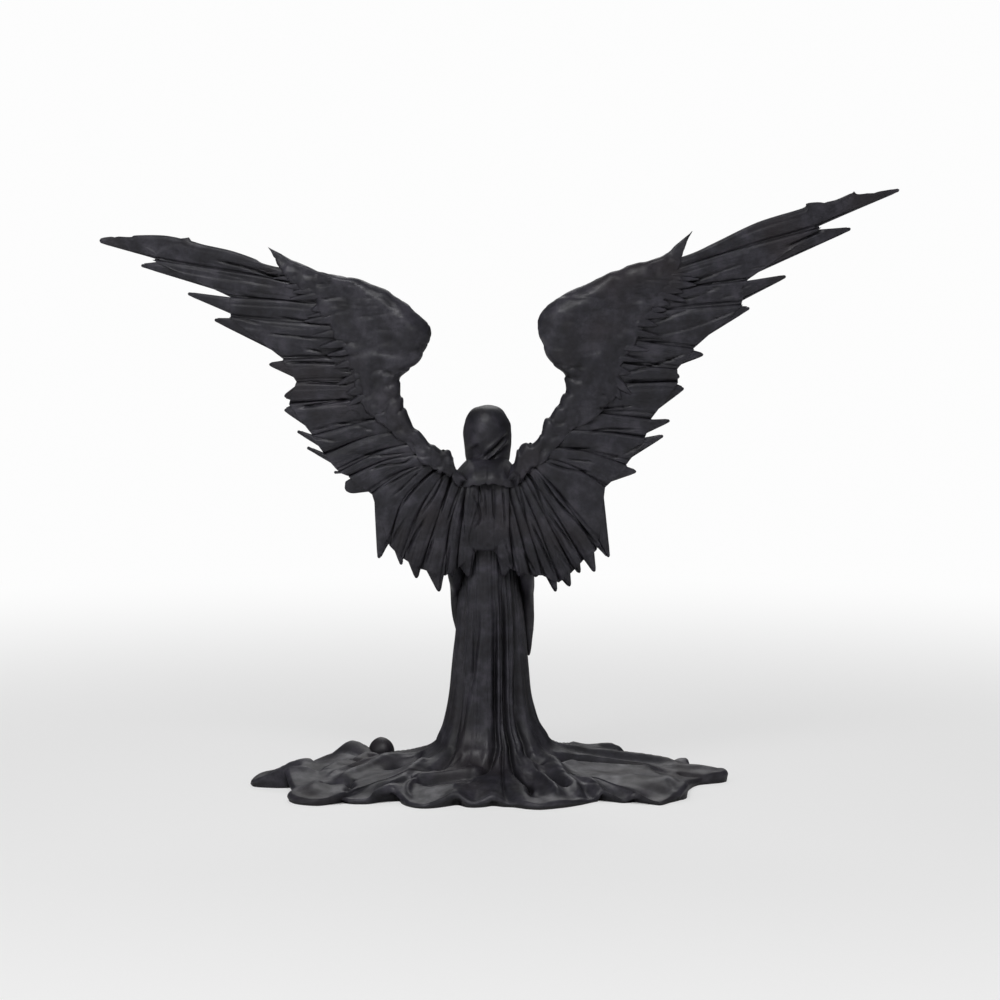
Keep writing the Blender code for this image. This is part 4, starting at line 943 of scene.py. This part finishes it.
def makeMantle():
    profile = through(mantle["profile"], np.linspace(0.0, 1.0, mantle["rows"]))
    angle = np.linspace(0.0, 2 * math.pi, mantle["around"], endpoint=False)[None]
    height, wide, front, back, dip, rise = (column[:, None] for column in profile.T)
    ahead, behind = np.maximum(-np.sin(angle), 0.0), np.maximum(np.sin(angle), 0.0)
    deep = np.where(np.sin(angle) > 0, back, front)
    # It is squarer behind than in front
    grid = np.dstack([0.5 + wide * np.cos(angle), deep * (behind**0.6 - ahead),
                      height - dip * ahead**1.5 + rise * behind**1.5])
    # Swags across the chest, hanging between the shoulders
    x, z = grid[..., 0] - 0.5, grid[..., 2]
    phase = (z - 0.035 * x**2 + 0.4 * np.sin(0.5 * x)) / mantle["swagDrop"]
    swag = np.abs(np.sin(math.pi * phase)) ** 1.5 * ease(0.25, 0.75, ahead)
    # Folds that fan out over the shoulders and the back
    degrees = np.degrees(angle)
    spread = np.zeros(grid.shape[:2])
    for middle, tall, width in mantle["folds"]:
        away = (degrees - middle - 3.0 * np.sin(0.4 * z) + 180.0) % 360.0 - 180.0
        spread += tall * np.exp(-((away / width) ** 2))
    low = ease(0.1, 0.6, np.linspace(0, 1, mantle["rows"]))[:, None]
    lift = low * (1.0 * swag + spread) + 0.2 * blotch(grid, 4.0, 95)
    # A ragged lower edge behind
    along = np.dstack([grid[..., 0], grid[..., 0] * 0, grid[..., 0] * 0])
    grid[..., 2] += (1.1 * blotch(along, 3.4, 96) + 0.5 * blotch(along, 1.4, 97)) * low * behind
    return shell("mantle", grid + outwardOf(grid) * lift[..., None])


skulls = {
    # middle, radius, heading from -Y in degrees anticlockwise, and nod
    "face": ((0.6, -4.5, 163.5), 7.6, 0.0, 6.0),
    "ground": ((52.0, -38.0, 8.0), 7.0, 30.0, -8.0),
    "around": 84,
    "rows": 70,
    # marks on both sides of a face, in radii: across, up, half width, half height, how far out, how flat
    "marks": (
        (0.34, -0.06, 0.19, 0.17, -0.36, 2),  # eye sockets
        (0.34, 0.17, 0.26, 0.07, 0.06, 1),    # brows
        (0.52, -0.34, 0.15, 0.07, 0.10, 1),   # cheekbones
        (0.75, 0.1, 0.12, 0.2, -0.05, 1),     # temples
    ),
    "toothWidth": 0.075,
}


def skullRadius(way):
    # How far a plain skull's surface lies from its middle. The face looks along -Y
    x, y, z = way.T
    front = np.clip(-y, 0.0, 1.0)
    radius = 1.0 + 0.05 * z - 0.12 * np.abs(x) - 0.05 * ease(0.2, -0.7, z) * np.abs(x)
    radius += 0.40 * bump(z, -0.80, 0.27) * front                     # jaw
    radius -= 0.10 * bump(z, -0.50, 0.12) * front * (np.abs(x) > 0.2)  # hollow cheeks
    for across, up, wide, tall, out, flat in skulls["marks"]:
        for side in (1, -1):
            away = ((x - side * across) / wide) ** 2 + ((z - up) / tall) ** 2
            radius += out * np.exp(-(away**flat)) * (y < 0)
    nose = ((np.abs(x) - 0.035) / 0.07) ** 2 + ((z + 0.36) / 0.11) ** 2
    radius -= 0.17 * np.exp(-(nose**2)) * (y < 0)
    teeth = bump(z, -0.635, 0.085) * ease(0.34, 0.24, np.abs(x)) * (y < 0)
    gaps = (0.5 + 0.5 * np.cos(x * 2 * math.pi / skulls["toothWidth"])) ** 4
    radius += teeth * (0.05 - 0.055 * gaps)
    radius -= 0.05 * bump(z, -0.645, 0.016) * ease(0.36, 0.26, np.abs(x)) * (y < 0)  # between the jaws
    return radius


def makeSkull(name):
    middle, size, heading, nod = skulls[name]
    tilt = np.linspace(-88.0, 88.0, skulls["rows"])
    angle = np.linspace(0.0, 2 * math.pi, skulls["around"], endpoint=False) - 0.5 * math.pi
    angle = angle + 0.35 * np.sin(2 * angle)  # finer in front
    rings = []
    for t in np.radians(tilt):
        level = np.full(len(angle), math.sin(t))
        way = np.stack([math.cos(t) * np.cos(angle), math.cos(t) * np.sin(angle), level], axis=1)
        rings.append(way * skullRadius(way)[:, None] * size)
    c, s = math.cos(math.radians(heading)), math.sin(math.radians(heading))
    cn, sn = math.cos(math.radians(nod)), math.sin(math.radians(nod))
    dip = np.array([[1, 0, 0], [0, cn, -sn], [0, sn, cn]])
    spin = np.array([[c, s, 0.0], [-s, c, 0.0], [0.0, 0.0, 1.0]])
    return shell(name + "Skull", np.array(rings) @ dip @ spin + np.array(middle))


# Elbow, wrist and fingertips as (towards that side, back, up), how far the sleeve hangs below the forearm
# and how far its hem swings out. The right hand lies over the left one
arms = {
    "shoulder": (13.5, 1.0, 141.0),
    "rows": 72,
    "around": 96,
    "fingerRadius": 1.0,
    "fingerLengths": (0.9, 1.0, 1.02, 0.92),
    "sides": (
        {"side": 1, "elbow": (16.0, 3.0, 107.0), "wrist": (8.0, -19.0, 104.5),
         "fingertips": (-6.0, -21.6, 92.5), "drop": 38.0, "swing": 0.5},
        {"side": -1, "elbow": (17.6, 3.0, 107.0), "wrist": (8.5, -21.0, 105.0),
         "fingertips": (-5.5, -25.4, 93.5), "drop": 47.0, "swing": 5.0},
    ),
}


def sleeveStations(arm):
    shoulder, elbow, wrist = np.array(arms["shoulder"]), np.array(arm["elbow"]), np.array(arm["wrist"])
    # place (3), half width, reach above, share of the drop below, upright or not
    rows = (
        (shoulder, 4.5, 4.0, 0.12, 0.0), (0.5 * (shoulder + elbow) + (0.8, 0.0, 0.0), 4.6, 4.0, 0.12, 0.0),
        (elbow + (0.0, 2.6, 3.0), 4.4, 4.5, 0.14, 0.0), (0.85 * elbow + 0.15 * wrist, 4.6, 5.0, 0.5, 1.0),
        (0.62 * elbow + 0.38 * wrist, 4.8, 4.8, 1.0, 1.0), (0.3 * elbow + 0.7 * wrist, 4.4, 4.4, 0.62, 1.0),
        (wrist, 3.8, 3.8, 0.2, 1.0),
    )
    return np.array([(*place, *rest) for place, *rest in rows])


def sleeveRings(arm, stations, share, shrink=1.0, count=None):
    count = count or arms["around"]
    angle = np.linspace(0.0, 2 * math.pi, count, endpoint=False)
    up, across = np.sin(angle), np.cos(angle)
    rings = []
    for row in through(stations, share):
        place, (wide, rise, part, upright) = row[:3], row[3:]
        upright = min(max(upright, 0.0), 1.0)
        level = (1 - upright) * np.array([0.0, -1.0, 0.6]) + upright * np.array([0.0, 0.0, 1.0])
        reach = np.where(up > 0, rise, part * arm["drop"]) * up * shrink
        ring = place + reach[:, None] * level
        ring[:, 0] += across * wide * shrink + arm["swing"] * np.clip(-reach / arm["drop"], 0.0, 1.0)
        ring[:, 0] *= arm["side"]
        rings.append(ring)
    return np.array(rings)


def makeSleeve(arm):
    stations = sleeveStations(arm)
    grid = sleeveRings(arm, stations, np.linspace(0.0, 1.0, arms["rows"]))
    seed = 120 + arm["side"]
    # Folds fall from the forearm to the sleeve's point
    fall = np.dstack([grid[..., 1], 0.12 * grid[..., 2], 0 * grid[..., 0]])
    lift = 0.55 * blotch(fall, 3.4, seed) + 0.3 * blotch(fall, 1.8, seed + 4)
    lift += 0.2 * blotch(grid, 5.0, seed + 8)
    normal = outwardOf(grid)
    if np.sum(normal[10] * (grid[10] - grid[10].mean(axis=0))) < 0:
        normal = -normal
    ends = ease(0.0, 0.06, np.linspace(0, 1, arms["rows"]))[:, None]
    sleeve = shell(f"sleeve{arm['side']}", grid + normal * (lift * ends)[..., None])
    hollow = sleeveRings(arm, stations, np.linspace(0.62, 1.0, 20), 0.72, 40)
    hollow = np.concatenate([hollow, hollow[-1:] + (0.0, -3.0, -0.4)])
    return sleeve, shell(f"sleeveHollow{arm['side']}", hollow)


def makeRod(name, points, radii, around=14, rows=26, knuckles=()):
    share = np.linspace(0.0, 1.0, rows)
    path = through(points, share)
    thick = through([(r,) for r in radii], share)[:, 0]
    for place, swell in knuckles:
        thick = thick + swell * bump(share, place, 0.055)
    thick = thick * np.sqrt(np.clip(1.0 - ((share - 0.93) / 0.075) ** 2 * (share > 0.93), 0.06, 1.0))
    return shell(name, tube(path, np.gradient(path, axis=0), (1.0, 0.0, 0.25), thick, around))


def makeHand(arm):
    side, size = arm["side"], arms["fingerRadius"]
    wrist, tips = np.array(arm["wrist"]) * (side, 1, 1), np.array(arm["fingertips"]) * (side, 1, 1)
    reach = tips - wrist
    ahead = unit(reach)
    broad = unit(np.cross(ahead, (0.0, 1.0, 0.0)))
    out = np.array([0.0, -1.0, 0.0])
    palm = wrist + 0.34 * reach
    heel = wrist - 5.0 * ahead + (0, 2.5, 0)
    made = [makeRod(f"palm{side}", [heel, wrist + out * 0.4, palm], [2.2, 1.9, 2.5], 24)]
    for i, long in enumerate(arms["fingerLengths"]):
        apart = (i - 1.5) * 1.45 * broad
        joints = [wrist + 0.02 * reach + 0.35 * apart, wrist + 0.22 * reach + 0.75 * apart + out * 0.5,
                  palm + 0.08 * reach + 1.05 * apart + out * 1.2,
                  wrist + 0.74 * long * reach + 1.15 * apart + out * 1.2, wrist + long * reach + 1.1 * apart]
        made.append(makeRod(f"finger{side}{i}", joints, size * np.array([0.7, 0.8, 0.92, 0.82, 0.5]), 14, 44,
                            ((0.5, 0.34), (0.72, 0.26), (0.88, 0.18))))
    thumb = [wrist + 0.1 * reach + broad * 1.2 * side, palm + broad * 3.4 * side + out * 0.5,
             palm + 0.26 * reach + broad * 4.2 * side + out * 0.6]
    made.append(makeRod(f"thumb{side}", thumb, size * np.array([1.1, 0.9, 0.55]), 14, 30,
                        ((0.5, 0.3), (0.8, 0.2))))
    return made


def makeFigure():
    hooded = fuse("hooded", [makeHood(), makeHoodRim()], [makeHoodHollow()])
    parts = [hooded, makeMantle(), makeSkull("face"), *makeSpineFeathers()]
    for arm in arms["sides"]:
        sleeve, hollow = makeSleeve(arm)
        parts.append(fuse(f"sleeved{arm['side']}", [sleeve], [hollow]))
        parts += makeHand(arm)
    return fuse("hoodAndSleeves", parts)


resin = {
    "black": "#2D2C34",
    "wornAndHighlit": "#46444D",     # where the paint is thin or rubbed, and the painted highlight on edges
    "deep": "#1D1C22",     # where it lies thick
    "warm": "#30292C",     # brownish clouds in it
    # painted shade: the near-black laid into creases by how closed in they are
    "paintedCreaseShade": "#08070A",
    "roughness": 0.5,
    "ior": 1.54,
    "grainSize": 0.45,     # mm, the casting's grain, coarser than it is so that it shows
    "grainDepth": 0.12,    # mm
    "mottleSize": 11.0,    # mm, clouds in the paint
    "paintedShadeReach": 5.0,    # mm, how wide a crease the painted shade darkens
}


def linear(hexColour):
    parts = [int(hexColour[i:i + 2], 16) / 255 for i in (1, 3, 5)]
    return (*(p / 12.92 if p <= 0.04045 else ((p + 0.055) / 1.055) ** 2.4 for p in parts), 1.0)


def addNode(tree, kind, settings=None, **links):
    # Adds a node, sets what settings names, and links or sets its inputs by name
    node = tree.nodes.new(kind)
    for key, value in (settings or {}).items():
        setattr(node, key, value)
    for key, value in links.items():
        numbered = key[0] == "i" and key[1:].isdigit()
        socket = node.inputs[int(key[1:]) if numbered else key.replace("_", " ")]
        if isinstance(value, bpy.types.NodeSocket):
            tree.links.new(value, socket)
        else:
            socket.default_value = value
    return node


def castPolyesterResin():
    # Polyester resin with stone powder, cast in a rubber mould and sprayed satin black: a soft, broad sheen,
    # painted shade
    #  that darkens the creases, and edges painted lighter, partly as rubbed wear and partly as a painted
    #  highlight
    material = bpy.data.materials.new("castPolyesterResinSatinBlack")
    material.use_nodes = True
    tree = material.node_tree
    shader = tree.nodes["Principled BSDF"]
    place = addNode(tree, "ShaderNodeTexCoord").outputs["Object"]
    # Scales are lumps per metre
    clouds, grains = 1000 / resin["mottleSize"], 1000 / resin["grainSize"]
    cloud = addNode(tree, "ShaderNodeTexNoise", Vector=place, Scale=clouds, Detail=5.0, Roughness=0.65)
    drift = addNode(tree, "ShaderNodeTexNoise", Vector=place, Scale=0.3 * clouds, Detail=2.0, Roughness=0.5)
    grain = addNode(tree, "ShaderNodeTexNoise", Vector=place, Scale=grains, Detail=2.0, Roughness=0.5)
    tint = addNode(tree, "ShaderNodeValToRGB", Fac=cloud.outputs["Fac"])
    ramp = tint.color_ramp.elements
    ramp[0].position, ramp[0].color = 0.34, linear(resin["deep"])
    ramp[1].position, ramp[1].color = 0.66, linear(resin["wornAndHighlit"])
    middle = ramp.new(0.5)
    middle.color = linear(resin["black"])
    warmth = addNode(tree, "ShaderNodeMapRange", Value=drift.outputs["Fac"], From_Min=0.52, From_Max=0.68,
                     To_Max=0.5)
    # Edges are painted lighter by their curvature, partly as rubbed wear and partly as a painted highlight;
    # creases get painted shade by how closed in they are
    bend = addNode(tree, "ShaderNodeNewGeometry").outputs["Pointiness"]
    # painted highlight, partly rubbed wear: the most curved edges take the lighter colour
    edges = addNode(tree, "ShaderNodeMapRange", Value=bend, From_Min=0.505, From_Max=0.6, To_Max=0.6)
    openness = addNode(tree, "ShaderNodeAmbientOcclusion", {"samples": 6}, Distance=resin["paintedShadeReach"] * mm)
    # Painted shade: the more closed in a place is, the more of the dark crease colour it gets
    closed = addNode(tree, "ShaderNodeMapRange", Value=openness.outputs["AO"], From_Min=0.35, From_Max=0.85,
                     To_Min=0.85, To_Max=0.0)
    colour = tint.outputs["Color"]
    for amount, paint in ((warmth, "warm"), (edges, "wornAndHighlit"), (closed, "paintedCreaseShade")):
        mixed = addNode(tree, "ShaderNodeMix", {"data_type": "RGBA"}, i0=amount.outputs["Result"], i6=colour,
                        i7=linear(resin[paint]))
        colour = mixed.outputs[2]
    tree.links.new(colour, shader.inputs["Base Color"])
    rough = addNode(tree, "ShaderNodeMapRange", Value=cloud.outputs["Fac"], From_Min=0.3, From_Max=0.7,
                    To_Min=resin["roughness"] + 0.1, To_Max=resin["roughness"] - 0.08)
    tree.links.new(rough.outputs["Result"], shader.inputs["Roughness"])
    shader.inputs["IOR"].default_value = resin["ior"]
    relief = addNode(tree, "ShaderNodeBump", Height=grain.outputs["Fac"], Strength=0.25,
                     Distance=resin["grainDepth"] * mm)
    tree.links.new(relief.outputs["Normal"], shader.inputs["Normal"])
    return material


studio = {
    "cameraDistance": 1500.0,
    "cameraLift": 5.0,
    "aim": (-5.4, 0.0, 134.0),
    "lens": 115.0,
    "air": (0.02, 0.11),           # what the air gives from below and from above
    "white": 0.98,                 # how bright the room itself looks
    "paperGlow": 0.6,              # how much the paper glows round the figure
    "paperReach": (220.0, 900.0),  # where the paper starts to glow like the room, and where it is as bright
    # name, place in metres, size, power
    "softboxes": (
        ("keySoftbox", (0.1, 0.6, 0.78), 0.32, 3.1),
        ("leftSoftbox", (1.2, 1.0, 0.6), 0.6, 2.3),
        ("rightSoftbox", (-1.3, 0.9, 0.5), 0.6, 1.4),
        ("frontSoftbox", (0.0, -0.9, 0.85), 0.7, 3.2),
    ),
}


def layPaper():
    bpy.ops.mesh.primitive_plane_add(size=40.0, location=(0, 0, reaperLow.z))
    floor = bpy.context.object
    floor.name = "floor"
    paper = bpy.data.materials.new("matteWhitePaper")
    paper.use_nodes = True
    tree = paper.node_tree
    shader = tree.nodes["Principled BSDF"]
    shader.inputs["Base Color"].default_value = linear("#F4F4F4")
    shader.inputs["Roughness"].default_value = 0.9
    # Away from the figure the paper runs into the white of the room, so there is no horizon
    place = addNode(tree, "ShaderNodeTexCoord").outputs["Object"]
    reach = addNode(tree, "ShaderNodeVectorMath", {"operation": "LENGTH"}, i0=place).outputs["Value"]
    near, far = (r * mm for r in studio["paperReach"])
    share = addNode(tree, "ShaderNodeMapRange", {"interpolation_type": "SMOOTHSTEP"}, Value=reach,
                    From_Min=near, From_Max=far, To_Min=studio["paperGlow"])
    direct = addNode(tree, "ShaderNodeLightPath").outputs["Is Camera Ray"]
    shown = addNode(tree, "ShaderNodeMath", {"operation": "MULTIPLY"}, i0=share.outputs["Result"], i1=direct)
    glow = addNode(tree, "ShaderNodeEmission", Color=(1, 1, 1, 1), Strength=studio["white"])
    both = addNode(tree, "ShaderNodeMixShader", i0=shown.outputs["Value"], i1=shader.outputs["BSDF"],
                   i2=glow.outputs["Emission"])
    tree.links.new(both.outputs["Shader"], tree.nodes["Material Output"].inputs["Surface"])
    floor.data.materials.append(paper)


def fillRoom():
    # The room lights the figure softly from above, and is seen as plain white
    world = bpy.data.worlds.new("studioAir")
    world.use_nodes = True
    tree = world.node_tree
    sky = addNode(tree, "ShaderNodeSeparateXYZ", i0=addNode(tree, "ShaderNodeTexCoord").outputs["Generated"])
    below, above = studio["air"]
    height = addNode(tree, "ShaderNodeMapRange", Value=sky.outputs["Z"], From_Min=-0.3, From_Max=1.0,
                     To_Min=below, To_Max=above)
    seen = addNode(tree, "ShaderNodeLightPath").outputs["Is Camera Ray"]
    strength = addNode(tree, "ShaderNodeMix", i0=seen, i2=height.outputs["Result"], i3=studio["white"])
    tree.links.new(strength.outputs[0], tree.nodes["Background"].inputs["Strength"])
    tree.nodes["Background"].inputs["Color"].default_value = (1, 1, 1, 1)
    bpy.context.scene.world = world


def makeStudio():
    scene = bpy.context.scene
    scene.view_settings.view_transform = "Standard"
    layPaper()
    fillRoom()
    middle = Vector((0.0, 0.0, 0.5 * stature * mm))
    for name, place, size, power in studio["softboxes"]:
        data = bpy.data.lights.new(name, "AREA")
        data.shape, data.size, data.energy = "SQUARE", size, power
        lamp = bpy.data.objects.new(name, data)
        lamp.location = place
        lamp.visible_camera = False
        lamp.rotation_euler = (middle - lamp.location).to_track_quat("-Z", "Y").to_euler()
        scene.collection.objects.link(lamp)
    data = bpy.data.cameras.new("camera")
    data.lens = studio["lens"]
    data.sensor_width = 36.0
    camera = bpy.data.objects.new("camera", data)
    lift = math.radians(studio["cameraLift"])
    back = Vector((0.0, math.cos(lift), math.sin(lift)))
    camera.location = Vector(studio["aim"]) * mm + back * studio["cameraDistance"] * mm
    camera.rotation_euler = (-back).to_track_quat("-Z", "Y").to_euler()
    data.clip_start, data.clip_end = 0.05, 60.0
    scene.collection.objects.link(camera)
    scene.camera = camera


print(f"winged reaper, {stature:.0f} mm tall")
finish = castPolyesterResin()
pieces = [fuse("robe", [makeRobe(), makeSkull("ground")]), makeFigure()]
for wing in (leftWing, rightWing):
    pieces.append(fuse(wing["name"], [makeArm(wing), *makeFeathers(wing), *makeTufts(wing)]))
for piece in pieces:
    piece.data.materials.clear()
    piece.data.materials.append(finish)
    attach(piece, "root")
    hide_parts("winged_reaper")
print("finish: cast resin, satin black")
makeStudio()
print("studio: white paper, four softboxes and the camera")
